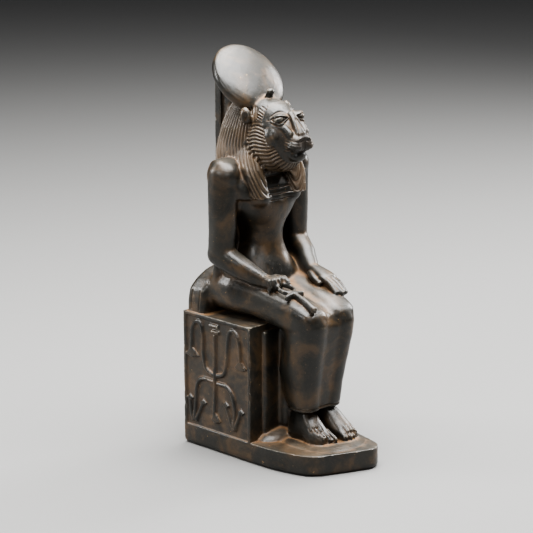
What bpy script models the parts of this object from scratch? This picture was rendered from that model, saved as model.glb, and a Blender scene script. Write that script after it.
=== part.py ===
"""A seated lioness goddess, carved with her throne and base from one block of dark basalt.

The base, throne and back pillar are laid out in metres from the driving sizes below. The figure is a
free form. Its tables are written in parts, 297 of which make the nominal height of the whole statue:
x to her left, y to her back with the seat's front edge at 2, z up from the underside, soles at 15.5.
"""
import math

import bmesh
import bpy
import numpy as np
from mathutils import Matrix, Vector

# Driving sizes, in metres
TOTAL_HEIGHT = 0.2973
BASE_THICKNESS = 0.0155
BASE_REACH = 0.0718          # from the throne's front face to the foremost point of the base
BASE_FOOT_ROUND = 0.003
THRONE_WIDTH = 0.087
THRONE_DEPTH = 0.071
PILLAR_WIDTH = 0.019
PILLAR_DEPTH = 0.0065
BACKREST_SETBACK = 0.0015    # backrest to throne side, on each flank
BORDER_WIDTH = 0.0026
PANEL_DEPTH = 0.0012
STROKE_WIDTH = 0.0032
STROKE_PROUD = 0.0018
STROKE_ROOT = 0.0010         # how far a stroke runs into the block behind it
BASE_FRONT_STEPS = 2          # between each two points of its outline

# The figure's own proportions, in parts
NOMINAL_HEIGHT = 297.3
SOLE = 15.5
SEAT = 102.6
SEAT_FRONT = 2.0
TORSO_BACK = 56.0
PART = (TOTAL_HEIGHT - BASE_THICKNESS) / (NOMINAL_HEIGHT - SOLE)

# How the clay of the figure is worked
BODY_VOXEL = 1.4 * PART
BODY_SOFTENING = 9
DETAIL_VOXEL = 0.85 * PART
DETAIL_SOFTENING = 3
FIGURE_TRIANGLES = 6200
RING_POINTS = 28

BASE_LENGTH = THRONE_DEPTH + BASE_REACH
BACK_Y = BASE_LENGTH / 2
THRONE_FRONT_Y = BACK_Y - THRONE_DEPTH
SEAT_Z = BASE_THICKNESS + (SEAT - SOLE) * PART

STONE = {"name": "basalt", "colour": (0.052, 0.047, 0.040, 1.0), "roughness": 0.38, "metallic": 0.0}


def at(x, y, z):
    """A place on the figure, from parts to metres."""
    return Vector((x * PART, THRONE_FRONT_Y + (y - SEAT_FRONT) * PART,
                   BASE_THICKNESS + (z - SOLE) * PART))


def parts_of(points):
    """Places on the figure, from an array in metres to parts."""
    shift = np.array([0.0, THRONE_FRONT_Y - SEAT_FRONT * PART, BASE_THICKNESS - SOLE * PART])
    return (points - shift) / PART


def signed_power(value, power):
    return math.copysign(abs(value) ** power, value)


def superellipse(power, count=RING_POINTS):
    """Points round a unit superellipse: 2 is a circle, more is squarer."""
    turns = [2 * math.pi * i / count for i in range(count)]
    return [(signed_power(math.cos(t), 2 / power), signed_power(math.sin(t), 2 / power)) for t in turns]


def level(z, front, back, half, power=2.2, x=0.0):
    """A horizontal ring."""
    middle, depth = (front + back) / 2, (back - front) / 2
    return [at(x + half * u, middle + depth * v, z) for u, v in superellipse(power)]


def upright(y, bottom, top, half, power=2.2, x=0.0):
    """A ring standing across the figure."""
    middle, rise = (bottom + top) / 2, (top - bottom) / 2
    return [at(x + half * u, y, middle + rise * v) for u, v in superellipse(power)]


def mirrored(rings):
    return [[Vector((-p.x, p.y, p.z)) for p in ring] for ring in rings]


def both(rings):
    """A form on her left and its mirror image on her right."""
    return [rings, mirrored(rings)]


def spline(points, steps):
    """A smooth run through the points, with this many steps between each two."""
    ends = [points[0] * 2 - points[1], *points, points[-1] * 2 - points[-2]]
    run = []
    for a, b, c, d in zip(ends, ends[1:], ends[2:], ends[3:]):
        for i in range(steps):
            t = i / steps
            run.append(0.5 * (2 * b + (c - a) * t + (2 * a - 5 * b + 4 * c - d) * t * t
                              + (3 * b - a - 3 * c + d) * t ** 3))
    return [*run, points[-1]]


def tube(path, radii, up=(0, 0, 1), power=2.0, rounded=True):
    """Rings across a path of (x, y, z) in parts; each radius is (sideways, upwards) in parts."""
    points = [at(*p) for p in path]
    rings = []
    for i, point in enumerate(points):
        along = (points[min(i + 1, len(points) - 1)] - points[max(i - 1, 0)]).normalized()
        side = along.cross(Vector(up)).normalized()
        top = side.cross(along)
        wide, high = radii[i]
        rings.append([point + side * (wide * PART * u) + top * (high * PART * v)
                      for u, v in superellipse(power)])
    if rounded:
        rings = [domed(rings[0], points[0] - points[1], radii[0]), *rings,
                 domed(rings[-1], points[-1] - points[-2], radii[-1])]
    return rings


def domed(ring, outwards, radius):
    """A smaller ring beyond an end ring, which rounds the end off."""
    middle = sum(ring, Vector()) / len(ring)
    shift = outwards.normalized() * (0.6 * min(radius) * PART)
    return [middle + (p - middle) * 0.62 + shift for p in ring]


def ellipsoid(centre, radii, lean=0.0, steps=12):
    """Rings of an ellipsoid; lean turns its top towards her back, in degrees."""
    turn = Matrix.Rotation(math.radians(-lean), 3, "X")
    rings = []
    for i in range(1, steps):
        t = math.pi * i / steps
        rings.append([at(*centre) + turn @ Vector((radii[0] * math.sin(t) * u, radii[1] * math.sin(t) * v,
                                                   -radii[2] * math.cos(t))) * PART
                      for u, v in superellipse(2.0)])
    return rings


def body_forms():
    """The soft masses: torso, limbs, dress and the low backrest."""
    torso = [level(*row) for row in (
        (99, 20, 60, 15, 2.6), (107, 12, 63, 24, 2.6), (114, 6, 64, 34, 2.6),
        (124, 8, 63, 32.5, 2.4), (133, 10.5, 60, 28, 2.3),
        (141, 13.5, 57, 23.5, 2.2), (148, 16.5, 53, 19, 2.1), (156, 18.5, 50, 16.3, 2.0),
        (163, 18.5, 50, 16.2, 2.0), (171, 17, 53, 19, 2.1), (178, 15, 56, 25, 2.2), (184, 14, 58, 29, 2.3),
        (194, 14.5, 60, 31, 2.8), (200, 16.5, 61, 32.5, 2.8), (205, 22, 61, 33, 2.6), (210, 29, 60, 33, 2.4),
        (217, 32, 57, 29, 2.2), (225, 35, 54, 20, 2.0))]
    thigh = [upright(*row, 2.9, x) for x, *row in (
        (16, 60, 105.5, 128, 16), (17, 52, 105.5, 136, 19), (17.2, 32, 105, 136, 20),
        (16.2, 12, 104.4, 131.5, 17),
        (15.3, -4, 101, 127, 14.8), (14.7, -18, 98, 124.3, 13.8), (14.2, -29, 98, 121, 13),
        (14, -36, 103, 117.4, 11.2), (13.8, -40, 106, 114, 7.5))]
    lap = [upright(*row, 3.2) for row in (
        (40, 99, 133, 20), (22, 99, 132, 17), (10, 99, 129, 15), (-10, 98, 123, 12), (-28, 97, 117.5, 11),
        (-37, 99, 112, 10))]
    shin = [level(*row, 2.3, x) for x, *row in (
        (14, 117, -36, -14, 8.5), (14, 113, -40.5, -10, 11), (14, 106, -43.5, -7, 12.4),
        (13.6, 94, -42, -8, 12.2), (13, 82, -39.5, -5, 11.8), (12.3, 68, -36.8, -1, 11.2),
        (11.4, 54, -34.4, -4, 10.2), (10.6, 40, -32.8, -8.5, 9.4))]
    dress = [level(*row, 4.5) for row in (
        (112, -37.4, 3, 12), (104, -41.4, 3, 14), (94, -40, 3, 14), (80, -37.2, 4, 14), (68, -34.9, 4, 13.4),
        (54, -32.5, 4, 12), (40, -31, 4, 10.4))]
    upper_arm = tube([(35.6, 37, 213), (36, 36.8, 200), (36.4, 36.6, 182), (36.8, 36.8, 166), (37.6, 37.4, 154)],
                     [(11, 11.2), (11, 11.5), (10.3, 10.8), (10, 10.3), (9.5, 9.8)], up=(0, 1, 0))
    shoulder = ellipsoid((34.9, 36.8, 208.5), (12, 13.2, 12.5))
    forearm = tube([(38.2, 41, 152.5), (36.4, 33, 148), (32.2, 21, 141.6), (27.6, 12, 136.8), (24.2, 6, 134)],
                   [(8.6, 9), (8.6, 9), (7.8, 8), (6.6, 6.4), (5.4, 5)], power=2.7)
    forearm_web = tube([(31, 38, 140), (27, 24, 135), (23.5, 12, 130)], [(5.2, 7), (4.2, 6), (3.6, 4.4)])
    girdle = [[at(x, 38 + 11 * u, z + 13.5 * v) for u, v in superellipse(2.5)] for x, z in (
        (-40, 207.5), (-28, 207.5), (-14, 209), (0, 209.5), (14, 209), (28, 207.5), (40, 207.5))]
    arm_web = [level(*row, 3.0, x) for x, *row in (
        (24, 126, 42, 52, 12), (24, 150, 41.5, 50, 12), (25, 180, 41.5, 50, 11), (25, 206, 41, 50, 11))]
    spine_back = (BACK_Y - THRONE_FRONT_Y - PILLAR_DEPTH / 2) / PART + SEAT_FRONT
    spine_half = 0.42 * PILLAR_WIDTH / PART
    spine = [level(z, front, spine_back, spine_half, 4.0) for z, front in (
        (99, 48), (150, 44), (205, 48), (256, 50), (268, 54), (277, 60))]
    breast = ellipsoid((15.4, 20.6, 191), (9, 9, 6.6), lean=8)
    pectoral = [level(*row, 2.6, x) for x, *row in (
        (24.5, 192, 18, 46, 9.5), (25.4, 200, 19, 46, 10.8), (26.4, 206, 22, 46, 10.6), (27, 212, 27, 46, 8.4),
        (28, 217, 32, 46, 5))]
    web = [level(z, -9, 4, 16, 3) for z in (24, 98)]
    wall = [level(z, -0.6, 4, 31, 4) for z in (12, 98)]
    forms = [torso, lap, dress, girdle, spine, web, wall]
    for form in (thigh, shin, upper_arm, shoulder, pectoral, forearm, forearm_web, arm_web, breast):
        forms += both(form)
    return forms


def backrest():
    """The low rounded back behind the hips, as wide as the throne less its setback."""
    half = (THRONE_WIDTH / 2 - BACKREST_SETBACK) / PART
    back = (BACK_Y - THRONE_FRONT_Y) / PART + SEAT_FRONT
    rows = ((98, 1.0, 0), (112, 0.99, 0.2), (120, 0.955, 0.9), (127, 0.83, 3.2), (132.6, 0.68, 6),
            (136, 0.5, 9.5), (138, 0.35, 12.5))
    return [level(z, TORSO_BACK - 4, back - inset, half * share, 7.0) for z, share, inset in rows]


WIG = ((262, 24, 52, 8, 2.0), (257, 17, 59, 14, 2.1), (250, 14, 63, 18.6, 2.2), (241, 16, 65.5, 21.6, 2.3),
       (231, 18, 67, 24, 2.4), (222, 19, 67.5, 25.8, 2.5), (214, 19, 67.5, 26.3, 2.6), (206, 22, 66, 24, 2.6))


LAPPET = ((232, 24, 50, 6, 2.5, 15), (222, 18.6, 46, 8.2, 2.5, 17.6), (214, 14.8, 42, 8.8, 2.5, 19.6),
          (209, 13, 37, 8.8, 2.6, 19.8), (204, 11.6, 32, 8, 2.7, 19.6), (199, 10.8, 27.6, 7.2, 2.8, 19.2),
          (192.6, 10.2, 22, 6.2, 3.0, 18.8))


def wig_forms():
    """The long wig behind the ears and its two lappets on the chest."""
    lappet = [level(*row) for row in LAPPET]
    return [[level(*row) for row in WIG], *both(lappet)]


RUFF = ((-2, 220, 232, 6.5, 2.2), (1, 214.6, 240, 10.4, 2.2), (5, 211.8, 247, 13.4, 2.2), (9, 210.6, 250, 15.4, 2.2),
        (13, 210, 252, 17.2, 2.25), (16, 209.8, 253, 19.4, 2.3), (20, 209.8, 253.5, 20.9, 2.3),
        (24, 210.4, 253.5, 21.2, 2.3), (27.4, 212.4, 252, 20.2, 2.3))
RUFF_INSIDE = ((212, -4), (218, -1.5), (222.7, 1.7), (228.5, 4.2), (234, 7.8), (239, 11.4),
               (249.5, 17))      # z, y


def head_forms():
    """The lioness head with the ruff of fur that frames the face."""
    skull = [upright(*row) for row in (
        (-4, 222, 241.5, 9, 2.3), (-1, 220.5, 246.5, 11.2, 2.3), (2, 219, 251, 12.8, 2.3), (5, 218, 255, 14, 2.3),
        (10, 216.5, 259, 15.8, 2.3), (16, 214, 261.4, 17.4, 2.3), (25, 213, 263, 18.6, 2.3),
        (36, 214, 263, 18.6, 2.2), (46, 220, 260, 15, 2.1))]
    muzzle = [upright(*row) for row in (
        (-11, 230.4, 238.8, 6.8, 2.6), (-9.4, 228.2, 240, 8.6, 2.5), (-6, 226.6, 241.4, 9.8, 2.5),
        (-1, 225.2, 244.6, 10.4, 2.4), (6, 225.6, 250, 10.8, 2.4))]
    nose = ellipsoid((0, -7.8, 237.2), (5.6, 3, 3.2), lean=-20)
    chin = ellipsoid((0, -3, 224.4), (7.2, 5.8, 5), lean=-10)
    bridge = tube([(0, -7.6, 240), (0, -4.2, 244.4), (0, -0.6, 249.2), (0, 3.6, 254)],
                  [(5.2, 2.6), (4.4, 2.6), (3.6, 2.4), (2.8, 2)], power=2.6)
    brow = ellipsoid((8.2, 4.8, 252.8), (5.4, 3.2, 2.2))
    pad = ellipsoid((5.7, -6.4, 232.2), (5.6, 5.6, 4.9))
    eye = ellipsoid((10, 5.2, 250.6), (4.8, 3.6, 3.4))
    cheek = ellipsoid((12.6, 11, 237), (5.4, 8, 9))
    socket = tube([(10.4, 4.4, 248), (9, 0.6, 244.6), (7.4, -3.6, 240)], [(2.6, 2.6), (3, 2.6), (3.4, 3)])
    ruff = [upright(*row) for row in RUFF]
    ear = ellipsoid((20.6, 28.6, 251.6), (3.8, 4.6, 6.4), lean=14)
    forms = [skull, muzzle, nose, chin, bridge, ruff]
    for form in (pad, brow, eye, socket, cheek, ear):
        forms += both(form)
    return forms


DISC_CENTRE = (0, 48.5, 273)
DISC_RADIUS = 29.6
DISC_LEAN = 42.0


def crown_forms():
    """The sun disc, leaning back against the pillar, with the small rearing cobra before it."""
    turn = Matrix.Rotation(math.radians(90 - DISC_LEAN), 3, "X")
    profile = [(2.6 + 7.4 * math.cos(t), DISC_RADIUS * signed_power(math.sin(t), 0.86))
               for t in (math.radians(a) for a in (8, 20, 34, 48, 62, 76, 86))]
    profile += [(0.9, DISC_RADIUS), (-1.2, DISC_RADIUS - 0.5), (-2.6, DISC_RADIUS - 2.6), (-5.2, DISC_RADIUS * 0.55),
                (-6, DISC_RADIUS * 0.15)]
    disc = [[at(*DISC_CENTRE) + turn @ Vector((radius * u, radius * v, height)) * PART
             for u, v in superellipse(2.0, 48)] for height, radius in profile]
    stem = tube([(0, 30, 258), (0, 26, 263), (0, 24.6, 266)], [(4, 3.4), (3.3, 2.8), (2.8, 2.4)], up=(0, 1, 0))
    knob = ellipsoid((0, 24, 267.4), (3.3, 2.8, 2.6))
    return [disc, stem, knob]


def hand_forms():
    """The fist that holds the ankh, and the other hand flat on the thigh."""
    forms = [ellipsoid((-21.6, 4, 133), (7.4, 8.6, 5.1))]
    for x, reach in ((-26.6, 0.9), (-23, 0), (-19.4, 0.1), (-15.9, 0.9)):
        forms.append(tube([(x, 2.6 + reach, 136.6), (x, -2.6 + reach, 135.4), (x, -4.2 + reach, 131.6),
                           (x, -2 + reach, 128)], [(1.9, 1.9), (1.95, 2), (1.9, 1.9), (1.7, 1.7)], up=(1, 0, 0)))
    forms.append(tube([(-14.4, 6, 135), (-11.8, -1.5, 135.4), (-12.4, -7.4, 132.6)],
                      [(2.4, 2.3), (2.2, 2.1), (1.8, 1.8)]))
    palm = [(24.8, 7, 134.2), (24.4, 0, 133), (23.6, -8, 131.2), (23, -13.4, 129.8)]
    forms.append(tube(palm, [(5.4, 4.6), (6, 4.2), (7, 4), (7.2, 3.6)], power=2.6))
    for x, tip in ((17.4, -26.4), (21, -29), (24.4, -29), (27.4, -26.6)):
        drop = 0.8 if x > 27 else 0.0
        forms.append(tube([(x, -10, 131.2 - drop), (x + 0.1, -19, 128.2 - drop), (x - 0.2, tip, 122.4 - drop)],
                          [(2.1, 2.6), (2, 2.5), (1.7, 2.1)]))
    forms.append(tube([(24.4, 4, 128.5), (23.8, -10, 126.6), (23, -25, 121)], [(5.4, 4), (6.4, 3.4), (6, 2.6)]))
    forms.append(tube([(18.4, 2, 132.6), (15, -5, 130.4), (14.2, -12, 127.6)], [(2.4, 2.4), (2.2, 2.3), (1.8, 2.1)]))
    return forms


def ankh_forms():
    """The ankh lying along the thigh: a loop under the fist, a cross-bar and a shaft that widens."""
    loop = []
    for i in range(13):
        t = 2 * math.pi * i / 12
        forward = -9.4 - 6.6 * math.cos(t)
        loop.append((-18.2 + 5.4 * math.sin(t) * (1.08 + 0.3 * math.cos(t)), forward, 129.6 + (forward + 9.4) * 0.3))
    return [tube(loop, [(1.25, 1.9)] * len(loop), rounded=False),
            tube([(-26.4, -18.4, 125.6), (-17.8, -17.8, 127.2), (-8.8, -17.2, 125.8)],
                 [(1.7, 2.3), (1.2, 2.1), (1.7, 2.1)], power=3.2),
            tube([(-17.6, -16.4, 127.6), (-18.2, -28, 123.8), (-18.8, -39, 119.2)],
                 [(1.4, 2), (1.8, 2.4), (2.5, 2.8)], power=3.2)]


# Each foot: rings standing across it as (y, middle, top, half-width), then toes as (x, tip, half-width, height)
RIGHT_FOOT = ((-10, -9.6, 36, 7), (-18, -9.6, 42, 8), (-25, -9.4, 41, 8.2), (-30, -9.4, 35, 8.5), (-35, -9.6, 29.8, 8.8),
              (-39, -9, 25.6, 8), (-42.5, -7.6, 22.6, 6.4))
LEFT_FOOT = ((-10, 10.5, 36, 7), (-18, 10.5, 42, 8), (-26, 10.6, 41, 8.2), (-32, 11, 36.2, 8.2), (-37, 11.6, 31.2, 8.4),
             (-42, 12.4, 27.2, 8.4), (-46, 12.9, 23.8, 8))
RIGHT_TOES = ((-3, -47.8, 2.3, 2.7), (-6.9, -45, 1.8, 2.4), (-10.3, -41.8, 1.75, 2.3), (-13.5, -38.4, 1.7, 2.2),
              (-16.5, -35, 1.6, 2.1))
LEFT_TOES = ((6.2, -49.6, 2.3, 2.7), (10.3, -50.4, 1.8, 2.4), (13.9, -49.8, 1.75, 2.3), (17.2, -48, 1.7, 2.2),
             (20.2, -45.6, 1.6, 2.1))
SOLE_RISE = 1.6              # the low mound of stone that the feet stand on


def foot_forms():
    """Bare feet under the crisp hem, each with five toes, and the stone left around them."""
    ground = SOLE + SOLE_RISE
    mound = [level(z, front, 4, half, 2.4, 1.5) for z, front, half in (
        (SOLE - 3, -61, 30), (SOLE + 0.1, -59.4, 28), (SOLE + 0.9, -56.6, 25), (ground, -52.8, 21.5))]
    ramp = ellipsoid((0, 2, SOLE - 2), (37, 17, 11))
    support = [level(*row, 2.8) for row in ((12, -16, 4, 15), (20, -15, 4, 13), (43, -17, 4, 12))]
    hem = [level(*row, 2.3, x) for x, *row in ((11.6, 58, -35, -4, 10.2), (10.6, 39.6, -32.8, -8.5, 9.8))]
    apron = [level(*row, 4.5) for row in ((58, -33.2, 4, 12.4), (39.6, -31, 4, 10.4))]
    forms = [mound, ramp, support, apron, *both(hem)]
    for foot, toes in ((RIGHT_FOOT, RIGHT_TOES), (LEFT_FOOT, LEFT_TOES)):
        forms.append([upright(y, SOLE - 3, top, half, 2.4, middle) for y, middle, top, half in foot])
        for x, tip, wide, high in toes:
            lie = ground + 0.8 * high
            forms.append(tube([(0.9 * x + 0.6, tip + 13, lie + 4.5), (x, tip + 7, lie + 2.2), (x, tip + wide, lie)],
                              [(wide, high), (wide, high), (wide * 0.95, high * 0.9)], power=2.6))
    return forms


def shells(forms):
    """One mesh of closed shells, each skinned over its rings."""
    clay = bmesh.new()
    for rings in forms:
        loops = [[clay.verts.new(p) for p in ring] for ring in rings]
        for lower, upper in zip(loops, loops[1:]):
            for i in range(len(lower)):
                j = (i + 1) % len(lower)
                clay.faces.new((lower[i], lower[j], upper[j], upper[i]))
        clay.faces.new(loops[0][::-1])
        clay.faces.new(loops[-1])
    bmesh.ops.recalc_face_normals(clay, faces=clay.faces)
    return clay


def new_object(name, clay, material=None):
    mesh = bpy.data.meshes.new(name)
    clay.to_mesh(mesh)
    clay.free()
    made = bpy.data.objects.new(name, mesh)
    bpy.context.scene.collection.objects.link(made)
    if material:
        mesh.materials.append(material)
    return made


def modelled(clay, voxel, softening):
    """The shells fused into one skin and softened, as a mesh of its own."""
    lump = new_object("clay", clay)
    fuse = lump.modifiers.new("Fuse", "REMESH")
    fuse.mode = "VOXEL"
    fuse.voxel_size = voxel
    soften = lump.modifiers.new("Soften", "SMOOTH")
    soften.factor = 0.5
    soften.iterations = softening
    mesh = bpy.data.meshes.new_from_object(lump.evaluated_get(bpy.context.evaluated_depsgraph_get()))
    bpy.data.objects.remove(lump)
    return mesh


def eased(value, low, high):
    """0 below low and 1 above high, with a smooth rise between."""
    t = np.clip((value - low) / (high - low), 0.0, 1.0)
    return t * t * (3 - 2 * t)


def round_level(p, rows):
    """How far out each point lies on a form made of level rings, mirrored left to right: 1 on its surface."""
    table = np.array(sorted(rows))
    front, back, half, power, *x = (np.interp(p[:, 2], table[:, 0], column) for column in table.T[1:])
    u = np.abs(np.abs(p[:, 0]) - x[0] if x else p[:, 0]) / half
    v = np.abs(p[:, 1] - (front + back) / 2) / ((back - front) / 2)
    return (u ** power + v ** power) ** (1 / power)


def round_upright(p, rows):
    """The same for a form made of rings standing across the figure."""
    table = np.array(sorted(rows))
    bottom, top, half, power = (np.interp(p[:, 1], table[:, 0], table[:, k]) for k in range(1, 5))
    u = np.abs(p[:, 0]) / half
    v = np.abs(p[:, 2] - (bottom + top) / 2) / ((top - bottom) / 2)
    return (u ** power + v ** power) ** (1 / power)


def skin_band(out):
    """1 on the surface of a form, 0 inside it and away from it."""
    return eased(out, 0.86, 0.92) * (1 - eased(out, 1.08, 1.16))


def furrow(phase):
    """A row of rounded ridges with grooves at whole numbers: 0 on a ridge, 1 in a groove."""
    return 1 - np.abs(np.sin(math.pi * phase)) ** 1.2


WIG_STRANDS = 52             # round the whole wig
STRAND_CENTRES = ((193, 18), (200, 22), (207, 26), (214, 30), (222, 34), (229, 36))      # z, y
RUFF_LOCKS = 44              # round the whole face
STRAND_DEPTH = 0.75
LOCK_DEPTH = 0.9
EYE = (10.4, 4.9, 250.8)
EYE_HALF = (6.4, 3.0)


def carving(p):
    """Depth of the cut at each point of the figure, in parts."""
    x, y, z = p.T
    side = np.abs(x)
    centre = np.interp(z, *np.transpose(STRAND_CENTRES))
    strands = furrow(np.arctan2(x, y - centre) / (2 * math.pi) * WIG_STRANDS)
    behind_ruff = eased(y + 0.4 * (z - 236), 28, 30) * (1 - eased(z, 257, 261))
    on_wig = skin_band(round_level(p, WIG)) * eased(z, 207, 210) * behind_ruff
    on_lappet = skin_band(round_level(p, LAPPET)) * eased(z, 192.4, 194) * (1 - eased(z, 229, 232))
    cut = STRAND_DEPTH * strands * np.maximum(on_wig, on_lappet)
    spread = np.arctan2(x, 237 - z)
    inside = np.interp(z, *np.transpose(RUFF_INSIDE))
    on_ruff = (eased(round_upright(p, RUFF), 0.9, 0.96) * eased(z, 207, 210) * eased(y - inside, 0, 1.5)
               * (1 - eased(y, 27, 30)) * (1 - eased(z, 246, 249)))
    cut += LOCK_DEPTH * on_ruff * furrow(spread / (2 * math.pi) * RUFF_LOCKS)
    mouth = np.exp(-((z - 227.4 - 0.1 * side) / 0.8) ** 2) * (1 - eased(y, 0, 3)) * (1 - eased(side, 9.5, 11.5))
    cut += 1.1 * mouth
    cut += 0.8 * np.exp(-(x / 0.9) ** 2) * (1 - eased(y, 3, 7)) * eased(z, 241, 243)
    along = 0.72 * (side - EYE[0]) + 0.69 * (y - EYE[1])
    rim = (along / EYE_HALF[0]) ** 2 + np.abs(z - EYE[2] + 0.12 * along) / EYE_HALF[1]
    cut += 0.8 * np.exp(-((rim - 1.3) / 0.25) ** 2) * (1 - eased(y, 11, 14)) * eased(z, 243, 245)
    return cut


def cut_away(mesh, depth_of):
    """Moves each point of a mesh inwards by the depth of its cut."""
    points = np.empty(len(mesh.vertices) * 3)
    normals = np.empty(len(mesh.vertices) * 3)
    mesh.vertices.foreach_get("co", points)
    mesh.vertex_normals.foreach_get("vector", normals)
    points, normals = points.reshape(-1, 3), normals.reshape(-1, 3)
    points = points - normals * (depth_of(parts_of(points)) * PART)[:, None]
    mesh.vertices.foreach_set("co", points.ravel())


def figure(name, material):
    body = modelled(shells(body_forms() + [backrest()]), BODY_VOXEL, BODY_SOFTENING)
    clay = shells(wig_forms() + head_forms() + crown_forms() + hand_forms() + ankh_forms() + foot_forms())
    clay.from_mesh(body)
    mesh = modelled(clay, DETAIL_VOXEL, DETAIL_SOFTENING)
    cut_away(mesh, carving)
    mesh.materials.append(material)
    made = bpy.data.objects.new(name, mesh)
    bpy.context.scene.collection.objects.link(made)
    made.modifiers.new("Triangulate", "TRIANGULATE")
    reduce = made.modifiers.new("Reduce", "DECIMATE")
    reduce.ratio = FIGURE_TRIANGLES / (2 * len(mesh.polygons))
    return made


def prism(outline, bottom, top, name, material=None):
    """A straight block over an outline of (x, y) points, in metres."""
    block = bmesh.new()
    lower = [block.verts.new((x, y, bottom)) for x, y in outline]
    upper = [block.verts.new((x, y, top)) for x, y in outline]
    block.faces.new(lower[::-1])
    block.faces.new(upper)
    for i in range(len(outline)):
        j = (i + 1) % len(outline)
        block.faces.new((lower[i], lower[j], upper[j], upper[i]))
    bmesh.ops.recalc_face_normals(block, faces=block.faces)
    return new_object(name, block, material)


def rectangle(half, front, back):
    return [(-half, front), (half, front), (half, back), (-half, back)]


# The front of the base, from her right to her left: across as a share of the half-width, forward of the
# reach. Its outline is uneven, fuller on her right.
BASE_FRONT = ((-1, 0), (-0.989, 0.209), (-0.966, 0.362), (-0.92, 0.487), (-0.862, 0.613), (-0.789, 0.71),
              (-0.644, 0.788), (-0.4, 0.855), (-0.138, 0.919), (0.101, 0.975), (0.264, 1), (0.395, 0.98),
              (0.501, 0.926), (0.566, 0.85), (0.598, 0.766), (0.655, 0.613), (0.736, 0.418), (0.85, 0.223),
              (0.95, 0.08), (1, 0))


def base_outline():
    """Straight flanks beside the throne, then a bowed front under the feet."""
    half = THRONE_WIDTH / 2
    front = spline([Vector((x, y, 0)) for x, y in BASE_FRONT], BASE_FRONT_STEPS)
    foremost = max(p.y for p in front)
    return [(-half, BACK_Y), *((half * p.x, THRONE_FRONT_Y - BASE_REACH * p.y / foremost) for p in front),
            (half, BACK_Y)]


def bevel(made, width, segments, limit):
    modifier = made.modifiers.new("Round", "BEVEL")
    modifier.width = width
    modifier.segments = segments
    modifier.limit_method = "ANGLE"
    modifier.angle_limit = math.radians(limit)
    return modifier


def combine(made, other, operation, name):
    other.hide_render = True
    other.display_type = "WIRE"
    join = made.modifiers.new(name, "BOOLEAN")
    join.object = other
    join.operation = operation
    join.solver = "EXACT"


# The bound plants on each flank of the throne, as (along, up) shares of the panel: along runs from its
# back to its front. Each stem is a smooth run through its points, and each flower a flared cup.
STEMS = (
    ((0.47, 0.88), (0.468, 0.49), (0.455, 0.15)),
    ((0.44, 0.515), (0.32, 0.56), (0.278, 0.7), (0.273, 0.85), (0.235, 0.95), (0.15, 0.955), (0.096, 0.87),
     (0.084, 0.69)),
    ((0.5, 0.515), (0.615, 0.55), (0.665, 0.68), (0.675, 0.83), (0.71, 0.945), (0.79, 0.955), (0.86, 0.88),
     (0.888, 0.69)),
    ((0.44, 0.45), (0.28, 0.455), (0.178, 0.4), (0.15, 0.25), (0.128, 0.05)),
    ((0.5, 0.445), (0.65, 0.44), (0.75, 0.37), (0.785, 0.24), (0.772, 0.08)),
    ((0.052, 0.235), (0.075, 0.12), (0.11, 0.04)),
    ((0.27, 0.23), (0.205, 0.13), (0.146, 0.045)),
    ((0.644, 0.27), (0.7, 0.18), (0.757, 0.08)),
    ((0.881, 0.245), (0.83, 0.15), (0.786, 0.07)),
)
FLOWERS = ((0.1, 0.645, 0.105), (0.885, 0.645, 0.09), (0.478, 0.1, 0.075))       # middle, rim, half-width
BARS = ((0.455, 0.957, 0.07), (0.48, 0.905, 0.062), (0.127, 0.06, 0.032), (0.775, 0.075, 0.032))
BUDS = ((0.056, 0.262, 0.036), (0.275, 0.25, 0.038), (0.644, 0.288, 0.038), (0.885, 0.262, 0.038))
STEM_STEPS = 3


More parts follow.
